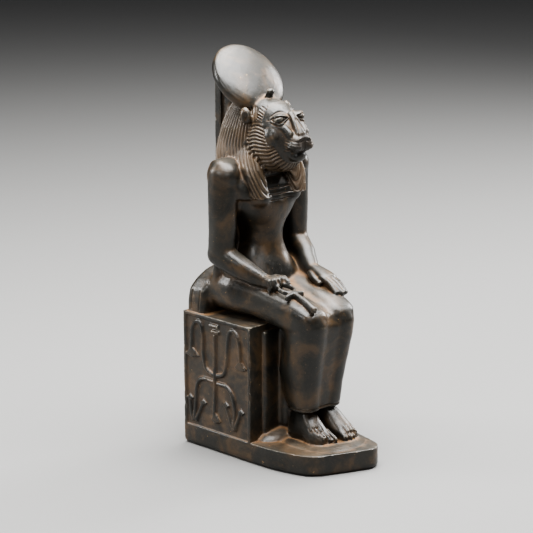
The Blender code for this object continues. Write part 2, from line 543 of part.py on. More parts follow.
class Panel:
    """One flank of the throne: turns shares of the panel into places on its sunk field."""

    def __init__(self, flank):
        self.flank = flank
        self.front = THRONE_FRONT_Y + BORDER_WIDTH
        self.back = BACK_Y - BORDER_WIDTH
        self.bottom = BASE_THICKNESS
        self.top = SEAT_Z - BORDER_WIDTH
        self.face = THRONE_WIDTH / 2 - PANEL_DEPTH

    def place(self, along, up, proud):
        return Vector((self.flank * (self.face + proud), self.back + (self.front - self.back) * along,
                       self.bottom + (self.top - self.bottom) * up))

    def field_cutter(self):
        outside = THRONE_WIDTH / 2 + PANEL_DEPTH
        block = prism(rectangle(0.5 * (outside - self.face), self.front, self.back), self.bottom, self.top, "field")
        block.location.x = self.flank * 0.5 * (outside + self.face)
        return block

    def stroke(self, points, name):
        """A rounded bar standing proud of the field along a run of (along, up) points."""
        run = [self.place(a, u, 0) for a, u in points]
        out = Vector((self.flank, 0, 0))
        bar = bmesh.new()
        loops = []
        for i, point in enumerate(run):
            along = (run[min(i + 1, len(run) - 1)] - run[max(i - 1, 0)]).normalized()
            side = along.cross(out) * (STROKE_WIDTH / 2)
            section = [point - out * STROKE_ROOT + side, point + out * (STROKE_PROUD * 0.55) + side * 0.92,
                       point + out * STROKE_PROUD + side * 0.4, point + out * STROKE_PROUD - side * 0.4,
                       point + out * (STROKE_PROUD * 0.55) - side * 0.92, point - out * STROKE_ROOT - side]
            loops.append([bar.verts.new(p) for p in section])
        for lower, upper in zip(loops, loops[1:]):
            for i in range(len(lower)):
                j = (i + 1) % len(lower)
                bar.faces.new((lower[i], lower[j], upper[j], upper[i]))
        bar.faces.new(loops[0][::-1])
        bar.faces.new(loops[-1])
        bmesh.ops.recalc_face_normals(bar, faces=bar.faces)
        return new_object(name, bar)

    def cup(self, middle, rim, half, height, name):
        """A flower or bud: a plate with a bowed rim, narrowing to its stem."""
        steps = 5
        outline = [(middle + half * (2 * i / steps - 1), rim - height * 0.3 * math.sin(math.pi * i / steps))
                   for i in range(steps + 1)]
        outline += [(middle + half * 0.35, rim + height * 0.75), (middle, rim + height),
                    (middle - half * 0.35, rim + height * 0.75)]
        plate = bmesh.new()
        lower = [plate.verts.new(self.place(a, u, -STROKE_ROOT)) for a, u in outline]
        upper = [plate.verts.new(self.place(a, u, STROKE_PROUD * 0.9)) for a, u in outline]
        plate.faces.new(lower[::-1])
        plate.faces.new(upper)
        for i in range(len(outline)):
            j = (i + 1) % len(outline)
            plate.faces.new((lower[i], lower[j], upper[j], upper[i]))
        bmesh.ops.recalc_face_normals(plate, faces=plate.faces)
        return new_object(name, plate)

    def reliefs(self):
        made = []
        for points in STEMS:
            steps = STEM_STEPS if len(points) > 3 else 2
            run = spline([Vector((a, u, 0)) for a, u in points], steps)
            made.append(self.stroke([(p.x, p.y) for p in run], "stem"))
        for middle, rim, half in FLOWERS:
            made.append(self.cup(middle, rim, half, 0.07, "flower"))
        for middle, up, half in BARS:
            made.append(self.stroke([(middle - half, up), (middle + half, up)], "band"))
        for middle, up, half in BUDS:
            arch = [(middle - half, up - 0.028), (middle, up), (middle + half, up - 0.028)]
            made.append(self.stroke(arch, "bud"))
        return made


def block_under_figure():
    """Base, throne and back pillar, with the relief on both flanks."""
    base = prism(base_outline(), 0.0, BASE_THICKNESS, "base")
    foot = bevel(base, BASE_FOOT_ROUND, 3, 50)
    foot.limit_method = "WEIGHT"
    weights = base.data.attributes.new("bevel_weight_edge", "FLOAT", "EDGE")
    for edge in base.data.edges:
        on_underside = all(base.data.vertices[v].co.z == 0 for v in edge.vertices)
        weights.data[edge.index].value = 1.0 if on_underside else 0.0
    throne = prism(rectangle(THRONE_WIDTH / 2, THRONE_FRONT_Y, BACK_Y), BASE_THICKNESS / 2, SEAT_Z, "throne")
    relief = bpy.data.collections.new("relief")
    bpy.context.scene.collection.children.link(relief)
    for flank in (-1, 1):
        panel = Panel(flank)
        combine(throne, panel.field_cutter(), "DIFFERENCE", "Panel")
        for stroke in panel.reliefs():
            bpy.context.scene.collection.objects.unlink(stroke)
            relief.objects.link(stroke)
            stroke.hide_render = True
            stroke.display_type = "WIRE"
    carve = throne.modifiers.new("Relief", "BOOLEAN")
    carve.operand_type = "COLLECTION"
    carve.collection = relief
    carve.operation = "UNION"
    carve.solver = "EXACT"
    pillar_top = at(0, 0, 283).z
    pillar_front = BACK_Y - PILLAR_DEPTH
    pillar = prism(rectangle(PILLAR_WIDTH / 2, pillar_front, BACK_Y), SEAT_Z / 2, pillar_top, "pillar")
    return base, throne, pillar


def main():
    for made in list(bpy.data.objects):
        bpy.data.objects.remove(made)
    bpy.context.scene.unit_settings.system = "METRIC"
    material = bpy.data.materials.new(STONE["name"])
    material.use_nodes = True
    surface = material.node_tree.nodes["Principled BSDF"]
    surface.inputs["Base Color"].default_value = STONE["colour"]
    surface.inputs["Roughness"].default_value = STONE["roughness"]
    surface.inputs["Metallic"].default_value = STONE["metallic"]
    statue = figure("lioness_goddess_statue", material)
    for part, name in zip(block_under_figure(), ("Base", "Throne", "Pillar")):
        combine(statue, part, "UNION", name)


main()
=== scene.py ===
"""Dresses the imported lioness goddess: the same figure, throne and base, carved in finer detail from dark
basalt, with its polish, wear and dust, standing on a pale floor in soft light.

The tables of forms are the ones that the solid is made from, written in parts of its height: x to her
left, y to her back, z up. Rows of level rings give z, front, back, half-width and power, and rows of
standing rings give y, bottom, top, half-width and power. A power of 2 is round, and more is squarer.
"""

import math

import bmesh
import bpy
import numpy as np
from mathutils import Matrix, Vector


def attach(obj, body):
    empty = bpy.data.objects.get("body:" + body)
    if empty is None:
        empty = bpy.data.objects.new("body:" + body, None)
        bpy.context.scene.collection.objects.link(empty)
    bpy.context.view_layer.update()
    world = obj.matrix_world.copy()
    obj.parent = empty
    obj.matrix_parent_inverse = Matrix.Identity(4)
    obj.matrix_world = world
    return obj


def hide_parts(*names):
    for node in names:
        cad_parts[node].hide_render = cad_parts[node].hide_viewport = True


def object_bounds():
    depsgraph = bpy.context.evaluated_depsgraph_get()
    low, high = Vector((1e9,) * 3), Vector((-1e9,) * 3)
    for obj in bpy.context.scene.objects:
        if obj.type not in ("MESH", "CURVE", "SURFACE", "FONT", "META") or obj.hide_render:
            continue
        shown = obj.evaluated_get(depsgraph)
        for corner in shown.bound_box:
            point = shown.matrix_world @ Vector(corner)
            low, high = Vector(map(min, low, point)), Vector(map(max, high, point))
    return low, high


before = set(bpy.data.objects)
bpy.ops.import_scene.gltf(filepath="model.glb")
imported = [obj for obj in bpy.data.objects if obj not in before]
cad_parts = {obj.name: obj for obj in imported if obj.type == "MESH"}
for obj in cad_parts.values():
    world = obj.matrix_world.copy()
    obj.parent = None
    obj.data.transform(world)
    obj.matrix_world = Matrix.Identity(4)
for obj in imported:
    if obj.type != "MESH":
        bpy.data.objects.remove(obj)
SOLID_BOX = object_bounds()
SOLID = "lioness_goddess_statue"

# Driving sizes of the solid, in metres
TOTAL_HEIGHT = 0.2973
BASE_THICKNESS = 0.0155
BASE_REACH = 0.0718          # from the throne's front face to the foremost point of the base
BASE_FOOT_ROUND = 0.003
BASE_FOOT_SEGMENTS = 4
THRONE_WIDTH = 0.087
THRONE_DEPTH = 0.071
PILLAR_WIDTH = 0.019
PILLAR_DEPTH = 0.0065
BACKREST_SETBACK = 0.0015    # backrest to throne side, on each flank
BORDER_WIDTH = 0.0026
PANEL_DEPTH = 0.0012
STROKE_WIDTH = 0.0032
STROKE_PROUD = 0.0018
STROKE_ROOT = 0.0010         # how far a stroke runs into the block behind it
BASE_FRONT_STEPS = 2         # between each two points of its outline

# The figure's own proportions, in parts
NOMINAL_HEIGHT = 297.3
SOLE = 15.5
SEAT = 102.6
SEAT_FRONT = 2.0
TORSO_BACK = 56.0
PILLAR_TOP = 283.0
PART = (TOTAL_HEIGHT - BASE_THICKNESS) / (NOMINAL_HEIGHT - SOLE)

# How the stone is worked: grains of the model in parts, rounds of softening, and points round a ring
COARSE = 1.0
BODY_GRAIN = 0.8 * COARSE
BODY_ROUNDS = round(28 / COARSE ** 2)
DETAIL_GRAIN = 0.46 * COARSE
DETAIL_ROUNDS = round(7 / COARSE ** 2)
BLOCK_ROUNDS = 2
RING_POINTS = 40
DISC_POINTS = 48
MOST_TRIANGLES = 190_000

# Rounds of smoothing that show up knocked edges, fine grooves, rubbed edges and broad hollows
KNOCK_ROUNDS = round(12 / COARSE ** 2)
GROOVE_ROUNDS = 3
EDGE_ROUNDS = 6
HOLLOW_ROUNDS = 60

BASE_LENGTH = THRONE_DEPTH + BASE_REACH
BACK_Y = BASE_LENGTH / 2
THRONE_FRONT_Y = BACK_Y - THRONE_DEPTH
SEAT_Z = BASE_THICKNESS + (SEAT - SOLE) * PART


def at(x, y, z):
    """A place on the figure, from parts to metres."""
    return Vector((x * PART, THRONE_FRONT_Y + (y - SEAT_FRONT) * PART,
                   BASE_THICKNESS + (z - SOLE) * PART))


def parts_of(points):
    """Places on the figure, from an array in metres to parts."""
    shift = np.array([0.0, THRONE_FRONT_Y - SEAT_FRONT * PART, BASE_THICKNESS - SOLE * PART])
    return (points - shift) / PART


def signed_power(value, power):
    """The power of a value's size, with its sign kept."""
    return math.copysign(abs(value) ** power, value)


def superellipse(power, count=RING_POINTS):
    """Points round a unit superellipse: 2 is a circle, more is squarer."""
    turns = [2 * math.pi * i / count for i in range(count)]
    return [(signed_power(math.cos(t), 2 / power), signed_power(math.sin(t), 2 / power))
            for t in turns]


def level(z, front, back, half, power=2.2, x=0.0):
    """A horizontal ring."""
    middle, depth = (front + back) / 2, (back - front) / 2
    return [at(x + half * u, middle + depth * v, z) for u, v in superellipse(power)]


def upright(y, bottom, top, half, power=2.2, x=0.0):
    """A ring standing across the figure."""
    middle, rise = (bottom + top) / 2, (top - bottom) / 2
    return [at(x + half * u, y, middle + rise * v) for u, v in superellipse(power)]


def mirrored(rings):
    """The same rings on her other side."""
    return [[Vector((-p.x, p.y, p.z)) for p in ring] for ring in rings]


def both(rings):
    """A form on her left and its mirror image on her right."""
    return [rings, mirrored(rings)]


def spline(points, steps):
    """A smooth run through the points, with this many steps between each two."""
    ends = [points[0] * 2 - points[1], *points, points[-1] * 2 - points[-2]]
    run = []
    for a, b, c, d in zip(ends, ends[1:], ends[2:], ends[3:]):
        for i in range(steps):
            t = i / steps
            run.append(0.5 * (2 * b + (c - a) * t + (2 * a - 5 * b + 4 * c - d) * t * t
                              + (3 * b - a - 3 * c + d) * t ** 3))
    return [*run, points[-1]]


def tube(path, radii, up=(0, 0, 1), power=2.0, rounded=True):
    """Rings across a path of (x, y, z) in parts; each radius is (sideways, upwards) in parts."""
    points = [at(*p) for p in path]
    rings = []
    for i, point in enumerate(points):
        along = (points[min(i + 1, len(points) - 1)] - points[max(i - 1, 0)]).normalized()
        side = along.cross(Vector(up)).normalized()
        top = side.cross(along)
        wide, high = radii[i]
        rings.append([point + side * (wide * PART * u) + top * (high * PART * v)
                      for u, v in superellipse(power)])
    if rounded:
        rings = [domed(rings[0], points[0] - points[1], radii[0]), *rings,
                 domed(rings[-1], points[-1] - points[-2], radii[-1])]
    return rings


def domed(ring, outwards, radius):
    """A smaller ring beyond an end ring, which rounds the end off."""
    middle = sum(ring, Vector()) / len(ring)
    shift = outwards.normalized() * (0.6 * min(radius) * PART)
    return [middle + (p - middle) * 0.62 + shift for p in ring]


def ellipsoid(centre, radii, lean=0.0, steps=12):
    """Rings of an ellipsoid; lean turns its top towards her back, in degrees."""
    turn = Matrix.Rotation(math.radians(-lean), 3, "X")
    rings = []
    for i in range(1, steps):
        t = math.pi * i / steps
        rings.append([at(*centre) + turn @ Vector((radii[0] * math.sin(t) * u, radii[1] * math.sin(t) * v,
                                                   -radii[2] * math.cos(t))) * PART
                      for u, v in superellipse(2.0)])
    return rings


def body_forms():
    """The soft masses: torso, limbs, dress and the low backrest."""
    torso = [level(*row) for row in (
        (99, 20, 60, 15, 2.6), (107, 12, 63, 24, 2.6), (114, 6, 64, 34, 2.6),
        (124, 8, 63, 32.5, 2.4), (133, 10.5, 60, 28, 2.3),
        (141, 13.5, 57, 23.5, 2.2), (148, 16.5, 53, 19, 2.1), (156, 18.5, 50, 16.3, 2.0),
        (163, 18.5, 50, 16.2, 2.0), (171, 17, 53, 19, 2.1), (178, 15, 56, 25, 2.2),
        (184, 14, 58, 29, 2.3), (194, 14.5, 60, 31, 2.8), (200, 16.5, 61, 32.5, 2.8),
        (205, 22, 61, 33, 2.6), (210, 29, 60, 33, 2.4),
        (217, 32, 57, 29, 2.2), (225, 35, 54, 20, 2.0))]
    thigh = [upright(*row, 2.9, x) for x, *row in (
        (16, 60, 105.5, 128, 16), (17, 52, 105.5, 136, 19), (17.2, 32, 105, 136, 20),
        (16.2, 12, 104.4, 131.5, 17),
        (15.3, -4, 101, 127, 14.8), (14.7, -18, 98, 124.3, 13.8), (14.2, -29, 98, 121, 13),
        (14, -36, 103, 117.4, 11.2), (13.8, -40, 106, 114, 7.5))]
    lap = [upright(*row, 3.2) for row in (
        (40, 99, 133, 20), (22, 99, 132, 17), (10, 99, 129, 15), (-10, 98, 123, 12),
        (-28, 97, 117.5, 11), (-37, 99, 112, 10))]
    shin = [level(*row, 2.3, x) for x, *row in (
        (14, 117, -36, -14, 8.5), (14, 113, -40.5, -10, 11), (14, 106, -43.5, -7, 12.4),
        (13.6, 94, -42, -8, 12.2), (13, 82, -39.5, -5, 11.8), (12.3, 68, -36.8, -1, 11.2),
        (11.4, 54, -34.4, -4, 10.2), (10.6, 40, -32.8, -8.5, 9.4))]
    dress = [level(*row, 4.5) for row in (
        (112, -37.4, 3, 12), (104, -41.4, 3, 14), (94, -40, 3, 14), (80, -37.2, 4, 14),
        (68, -34.9, 4, 13.4), (54, -32.5, 4, 12), (40, -31, 4, 10.4))]
    upper_arm = tube([(35.6, 37, 213), (36, 36.8, 200), (36.4, 36.6, 182), (36.8, 36.8, 166),
                      (37.6, 37.4, 154)],
                     [(11, 11.2), (11, 11.5), (10.3, 10.8), (10, 10.3), (9.5, 9.8)], up=(0, 1, 0))
    shoulder = ellipsoid((34.9, 36.8, 208.5), (12, 13.2, 12.5))
    forearm = tube([(38.2, 41, 152.5), (36.4, 33, 148), (32.2, 21, 141.6), (27.6, 12, 136.8),
                    (24.2, 6, 134)],
                   [(8.6, 9), (8.6, 9), (7.8, 8), (6.6, 6.4), (5.4, 5)], power=2.7)
    forearm_web = tube([(31, 38, 140), (27, 24, 135), (23.5, 12, 130)],
                       [(5.2, 7), (4.2, 6), (3.6, 4.4)])
    girdle = [[at(x, 38 + 11 * u, z + 13.5 * v) for u, v in superellipse(2.5)] for x, z in (
        (-40, 207.5), (-28, 207.5), (-14, 209), (0, 209.5), (14, 209), (28, 207.5), (40, 207.5))]
    arm_web = [level(*row, 3.0, x) for x, *row in (
        (24, 126, 42, 52, 12), (24, 150, 41.5, 50, 12), (25, 180, 41.5, 50, 11), (25, 206, 41, 50, 11))]
    spine_back = (BACK_Y - THRONE_FRONT_Y - PILLAR_DEPTH / 2) / PART + SEAT_FRONT
    spine_half = 0.42 * PILLAR_WIDTH / PART
    spine = [level(z, front, spine_back, spine_half, 4.0) for z, front in (
        (99, 48), (150, 44), (205, 48), (256, 50), (268, 54), (277, 60))]
    breast = ellipsoid((15.4, 20.6, 191), (9, 9, 6.6), lean=8)
    pectoral = [level(*row, 2.6, x) for x, *row in (
        (24.5, 192, 18, 46, 9.5), (25.4, 200, 19, 46, 10.8), (26.4, 206, 22, 46, 10.6),
        (27, 212, 27, 46, 8.4), (28, 217, 32, 46, 5))]
    web = [level(z, -9, 4, 16, 3) for z in (24, 98)]
    wall = [level(z, -0.6, 4, 31, 4) for z in (12, 98)]
    forms = [torso, lap, dress, girdle, spine, web, wall]
    for form in (thigh, shin, upper_arm, shoulder, pectoral, forearm, forearm_web, arm_web, breast):
        forms += both(form)
    return forms


def backrest():
    """The low rounded back behind the hips, as wide as the throne less its setback."""
    half = (THRONE_WIDTH / 2 - BACKREST_SETBACK) / PART
    back = (BACK_Y - THRONE_FRONT_Y) / PART + SEAT_FRONT
    rows = ((98, 1.0, 0), (112, 0.99, 0.2), (120, 0.955, 0.9), (127, 0.83, 3.2),
            (132.6, 0.68, 6), (136, 0.5, 9.5), (138, 0.35, 12.5))     # z, share of the half, inset
    return [level(z, TORSO_BACK - 4, back - inset, half * share, 7.0) for z, share, inset in rows]


WIG = ((262, 24, 52, 8, 2.0), (257, 17, 59, 14, 2.1), (250, 14, 63, 18.6, 2.2),
       (241, 16, 65.5, 21.6, 2.3), (231, 18, 67, 24, 2.4), (222, 19, 67.5, 25.8, 2.5),
       (214, 19, 67.5, 26.3, 2.6), (206, 22, 66, 24, 2.6))
# With the place of its middle to her left at the end of each row
LAPPET = ((232, 24, 50, 6, 2.5, 15), (222, 18.6, 46, 8.2, 2.5, 17.6), (214, 14.8, 42, 8.8, 2.5, 19.6),
          (209, 13, 37, 8.8, 2.6, 19.8), (204, 11.6, 32, 8, 2.7, 19.6), (199, 10.8, 27.6, 7.2, 2.8, 19.2),
          (192.6, 10.2, 22, 6.2, 3.0, 18.8))


def wig_forms():
    """The long wig behind the ears and its two lappets on the chest."""
    lappet = [level(*row) for row in LAPPET]
    return [[level(*row) for row in WIG], *both(lappet)]


RUFF = ((-2, 220, 232, 6.5, 2.2), (1, 214.6, 240, 10.4, 2.2), (5, 211.8, 247, 13.4, 2.2),
        (9, 210.6, 250, 15.4, 2.2), (13, 210, 252, 17.2, 2.25), (16, 209.8, 253, 19.4, 2.3),
        (20, 209.8, 253.5, 20.9, 2.3), (24, 210.4, 253.5, 21.2, 2.3), (27.4, 212.4, 252, 20.2, 2.3))


def head_forms():
    """The lioness head with the ruff of fur that frames the face."""
    skull = [upright(*row) for row in (
        (-4, 222, 241.5, 9, 2.3), (-1, 220.5, 246.5, 11.2, 2.3), (2, 219, 251, 12.8, 2.3),
        (5, 218, 255, 14, 2.3), (10, 216.5, 259, 15.8, 2.3), (16, 214, 261.4, 17.4, 2.3),
        (25, 213, 263, 18.6, 2.3), (36, 214, 263, 18.6, 2.2), (46, 220, 260, 15, 2.1))]
    muzzle = [upright(*row) for row in (
        (-11, 230.4, 238.8, 6.8, 2.6), (-9.4, 228.2, 240, 8.6, 2.5), (-6, 226.6, 241.4, 9.8, 2.5),
        (-1, 225.2, 244.6, 10.4, 2.4), (6, 225.6, 250, 10.8, 2.4))]
    nose = ellipsoid((0, -7.8, 237.2), (5.6, 3, 3.2), lean=-20)
    chin = ellipsoid((0, -3, 224.4), (7.2, 5.8, 5), lean=-10)
    bridge = tube([(0, -7.6, 240), (0, -4.2, 244.4), (0, -0.6, 249.2), (0, 3.6, 254)],
                  [(5.2, 2.6), (4.4, 2.6), (3.6, 2.4), (2.8, 2)], power=2.6)
    brow = ellipsoid((8.2, 4.8, 252.8), (5.4, 3.2, 2.2))
    pad = ellipsoid((5.7, -6.4, 232.2), (5.6, 5.6, 4.9))
    eye = ellipsoid((10, 5.2, 250.6), (4.8, 3.6, 3.4))
    cheek = ellipsoid((12.6, 11, 237), (5.4, 8, 9))
    socket = tube([(10.4, 4.4, 248), (9, 0.6, 244.6), (7.4, -3.6, 240)],
                  [(2.6, 2.6), (3, 2.6), (3.4, 3)])
    ruff = [upright(*row) for row in RUFF]
    ear = ellipsoid((20.6, 28.6, 251.6), (3.8, 4.6, 6.4), lean=14)
    forms = [skull, muzzle, nose, chin, bridge, ruff]
    for form in (pad, brow, eye, socket, cheek, ear):
        forms += both(form)
    return forms


DISC_CENTRE = (0, 48.5, 273)
DISC_RADIUS = 29.6
DISC_LEAN = 42.0


def crown_forms():
    """The sun disc, leaning back against the pillar, with the small rearing cobra before it."""
    turn = Matrix.Rotation(math.radians(90 - DISC_LEAN), 3, "X")
    profile = [(2.6 + 7.4 * math.cos(t), DISC_RADIUS * signed_power(math.sin(t), 0.86))
               for t in (math.radians(a) for a in (8, 20, 34, 48, 62, 76, 86))]
    profile += [(0.9, DISC_RADIUS), (-1.2, DISC_RADIUS - 0.5), (-2.6, DISC_RADIUS - 2.6),
                (-5.2, DISC_RADIUS * 0.55), (-6, DISC_RADIUS * 0.15)]      # height, radius
    disc = [[at(*DISC_CENTRE) + turn @ Vector((radius * u, radius * v, height)) * PART
             for u, v in superellipse(2.0, DISC_POINTS)] for height, radius in profile]
    stem = tube([(0, 30, 258), (0, 26, 263), (0, 24.6, 266)], [(4, 3.4), (3.3, 2.8), (2.8, 2.4)],
                up=(0, 1, 0))
    knob = ellipsoid((0, 24, 267.4), (3.3, 2.8, 2.6))
    return [disc, stem, knob]


def hand_forms():
    """The fist that holds the ankh, and the other hand flat on the thigh."""
    forms = [ellipsoid((-21.6, 4, 133), (7.4, 8.6, 5.1))]
    for x, reach in ((-26.6, 0.9), (-23, 0), (-19.4, 0.1), (-15.9, 0.9)):
        forms.append(tube([(x, 2.6 + reach, 136.6), (x, -2.6 + reach, 135.4), (x, -4.2 + reach, 131.6),
                           (x, -2 + reach, 128)],
                          [(1.9, 1.9), (1.95, 2), (1.9, 1.9), (1.7, 1.7)], up=(1, 0, 0)))
    forms.append(tube([(-14.4, 6, 135), (-11.8, -1.5, 135.4), (-12.4, -7.4, 132.6)],
                      [(2.4, 2.3), (2.2, 2.1), (1.8, 1.8)]))
    palm = [(24.8, 7, 134.2), (24.4, 0, 133), (23.6, -8, 131.2), (23, -13.4, 129.8)]
    forms.append(tube(palm, [(5.4, 4.6), (6, 4.2), (7, 4), (7.2, 3.6)], power=2.6))
    for x, tip in ((17.4, -26.4), (21, -29), (24.4, -29), (27.4, -26.6)):
        drop = 0.8 if x > 27 else 0.0
        forms.append(tube([(x, -10, 131.2 - drop), (x + 0.1, -19, 128.2 - drop),
                           (x - 0.2, tip, 122.4 - drop)],
                          [(2.1, 2.6), (2, 2.5), (1.7, 2.1)]))
    forms.append(tube([(24.4, 4, 128.5), (23.8, -10, 126.6), (23, -25, 121)],
                      [(5.4, 4), (6.4, 3.4), (6, 2.6)]))
    forms.append(tube([(18.4, 2, 132.6), (15, -5, 130.4), (14.2, -12, 127.6)],
                      [(2.4, 2.4), (2.2, 2.3), (1.8, 2.1)]))
    return forms


def ankh_forms():
    """The ankh lying along the thigh: a loop under the fist, a cross-bar and a shaft that widens."""
    loop = []
    for i in range(13):
        t = 2 * math.pi * i / 12
        forward = -9.4 - 6.6 * math.cos(t)
        loop.append((-18.2 + 5.4 * math.sin(t) * (1.08 + 0.3 * math.cos(t)), forward,
                     129.6 + (forward + 9.4) * 0.3))
    return [tube(loop, [(1.25, 1.9)] * len(loop), rounded=False),
            tube([(-26.4, -18.4, 125.6), (-17.8, -17.8, 127.2), (-8.8, -17.2, 125.8)],
                 [(1.7, 2.3), (1.2, 2.1), (1.7, 2.1)], power=3.2),
            tube([(-17.6, -16.4, 127.6), (-18.2, -28, 123.8), (-18.8, -39, 119.2)],
                 [(1.4, 2), (1.8, 2.4), (2.5, 2.8)], power=3.2)]


# Each foot: rings standing across it as (y, middle, top, half-width)
RIGHT_FOOT = ((-10, -9.6, 36, 7), (-18, -9.6, 42, 8), (-25, -9.4, 41, 8.2), (-30, -9.4, 35, 8.5),
              (-35, -9.6, 29.8, 8.8), (-39, -9, 25.6, 8), (-42.5, -7.6, 22.6, 6.4))
LEFT_FOOT = ((-10, 10.5, 36, 7), (-18, 10.5, 42, 8), (-26, 10.6, 41, 8.2), (-32, 11, 36.2, 8.2),
             (-37, 11.6, 31.2, 8.4), (-42, 12.4, 27.2, 8.4), (-46, 12.9, 23.8, 8))
# Each toe: x, tip, half-width, height
RIGHT_TOES = ((-3, -47.8, 2.3, 2.7), (-6.9, -45, 1.8, 2.4), (-10.3, -41.8, 1.75, 2.3),
              (-13.5, -38.4, 1.7, 2.2), (-16.5, -35, 1.6, 2.1))
LEFT_TOES = ((6.2, -49.6, 2.3, 2.7), (10.3, -50.4, 1.8, 2.4), (13.9, -49.8, 1.75, 2.3),
             (17.2, -48, 1.7, 2.2), (20.2, -45.6, 1.6, 2.1))
SOLE_RISE = 1.6              # the low mound of stone that the feet stand on


def foot_forms():
    """Bare feet under the crisp hem, each with five toes, and the stone left around them."""
    ground = SOLE + SOLE_RISE
    mound = [level(z, front, 4, half, 2.4, 1.5) for z, front, half in (
        (SOLE - 3, -61, 30), (SOLE + 0.1, -59.4, 28), (SOLE + 0.9, -56.6, 25), (ground, -52.8, 21.5))]
    ramp = ellipsoid((0, 2, SOLE - 2), (37, 17, 11))
    support = [level(*row, 2.8) for row in ((12, -16, 4, 15), (20, -15, 4, 13), (43, -17, 4, 12))]
    hem = [level(*row, 2.3, x) for x, *row in ((11.6, 58, -35, -4, 10.2), (10.6, 39.6, -32.8, -8.5, 9.8))]
    apron = [level(*row, 4.5) for row in ((58, -33.2, 4, 12.4), (39.6, -31, 4, 10.4))]
    forms = [mound, ramp, support, apron, *both(hem)]
    for foot, toes in ((RIGHT_FOOT, RIGHT_TOES), (LEFT_FOOT, LEFT_TOES)):
        forms.append([upright(y, SOLE - 3, top, half, 2.4, middle) for y, middle, top, half in foot])
        for x, tip, wide, high in toes:
            lie = ground + 0.8 * high
            forms.append(tube([(0.9 * x + 0.6, tip + 13, lie + 4.5), (x, tip + 7, lie + 2.2),
                               (x, tip + wide, lie)],
                              [(wide, high), (wide, high), (wide * 0.95, high * 0.9)], power=2.6))
    return forms


def shells(forms):
    """One mesh of closed shells, each skinned over its rings."""
    clay = bmesh.new()
    for rings in forms:
        loops = [[clay.verts.new(p) for p in ring] for ring in rings]
        for lower, upper in zip(loops, loops[1:]):
            for i in range(len(lower)):
                j = (i + 1) % len(lower)
                clay.faces.new((lower[i], lower[j], upper[j], upper[i]))
        clay.faces.new(loops[0][::-1])
        clay.faces.new(loops[-1])
    bmesh.ops.recalc_face_normals(clay, faces=clay.faces)
    return clay


def placed(name, mesh):
    """A new object that shows a mesh."""
    made = bpy.data.objects.new(name, mesh)
    bpy.context.scene.collection.objects.link(made)
    return made


def cast(name, clay):
    """A new object made from loose clay, which is used up."""
    mesh = bpy.data.meshes.new(name)
    clay.to_mesh(mesh)
    clay.free()
    return placed(name, mesh)


def eased(value, low, high):
    """0 below low and 1 above high, with a smooth rise between."""
    t = np.clip((value - low) / (high - low), 0.0, 1.0)
    return t * t * (3 - 2 * t)


def round_level(p, rows):
    """How far out each point lies in a form of level rings, the same on both sides: 1 on its surface."""
    table = np.array(sorted(rows))
    front, back, half, power, *x = (np.interp(p[:, 2], table[:, 0], column) for column in table.T[1:])
    u = np.abs(np.abs(p[:, 0]) - x[0] if x else p[:, 0]) / half
    v = np.abs(p[:, 1] - (front + back) / 2) / ((back - front) / 2)
    return (u ** power + v ** power) ** (1 / power)


def round_upright(p, rows):
    """The same for a form made of rings standing across the figure."""
    table = np.array(sorted(rows))
    bottom, top, half, power = (np.interp(p[:, 1], table[:, 0], table[:, k]) for k in range(1, 5))
    u = np.abs(p[:, 0]) / half
    v = np.abs(p[:, 2] - (bottom + top) / 2) / ((top - bottom) / 2)
    return (u ** power + v ** power) ** (1 / power)


def skin_band(out):
    """1 on the surface of a form, 0 inside it and away from it."""
    return eased(out, 0.86, 0.92) * (1 - eased(out, 1.08, 1.16))


def furrow(phase):
    """A row of rounded ridges with grooves at whole numbers: 0 on a ridge, 1 in a groove."""
    return 1 - np.abs(np.sin(math.pi * phase)) ** 1.2


# The front of the base, from her right to her left: across as a share of the half-width, forward of the
# reach. Its outline is uneven, fuller on her right.
BASE_FRONT = ((-1, 0), (-0.989, 0.209), (-0.966, 0.362), (-0.92, 0.487), (-0.862, 0.613), (-0.789, 0.71),
              (-0.644, 0.788), (-0.4, 0.855), (-0.138, 0.919), (0.101, 0.975), (0.264, 1), (0.395, 0.98),
              (0.501, 0.926), (0.566, 0.85), (0.598, 0.766), (0.655, 0.613), (0.736, 0.418), (0.85, 0.223),
              (0.95, 0.08), (1, 0))


def base_outline():
    """Straight flanks beside the throne, then a bowed front under the feet."""
    half = THRONE_WIDTH / 2
    front = spline([Vector((x, y, 0)) for x, y in BASE_FRONT], BASE_FRONT_STEPS)
    foremost = max(p.y for p in front)
    return [(-half, BACK_Y), *((half * p.x, THRONE_FRONT_Y - BASE_REACH * p.y / foremost) for p in front),
            (half, BACK_Y)]


# The bound plants on each flank of the throne, as (along, up) shares of the panel: along runs from its
# back to its front. Each stem is a smooth run through its points, and each flower a flared cup.
STEMS = (
    ((0.47, 0.88), (0.468, 0.49), (0.455, 0.15)),
    ((0.44, 0.515), (0.32, 0.56), (0.278, 0.7), (0.273, 0.85), (0.235, 0.95), (0.15, 0.955), (0.096, 0.87),
     (0.084, 0.69)),
    ((0.5, 0.515), (0.615, 0.55), (0.665, 0.68), (0.675, 0.83), (0.71, 0.945), (0.79, 0.955), (0.86, 0.88),
     (0.888, 0.69)),
    ((0.44, 0.45), (0.28, 0.455), (0.178, 0.4), (0.15, 0.25), (0.128, 0.05)),
    ((0.5, 0.445), (0.65, 0.44), (0.75, 0.37), (0.785, 0.24), (0.772, 0.08)),
    ((0.052, 0.235), (0.075, 0.12), (0.11, 0.04)),
    ((0.27, 0.23), (0.205, 0.13), (0.146, 0.045)),
    ((0.644, 0.27), (0.7, 0.18), (0.757, 0.08)),
    ((0.881, 0.245), (0.83, 0.15), (0.786, 0.07)),
)
FLOWERS = ((0.1, 0.645, 0.105), (0.885, 0.645, 0.09), (0.478, 0.1, 0.075))       # middle, rim, half-width
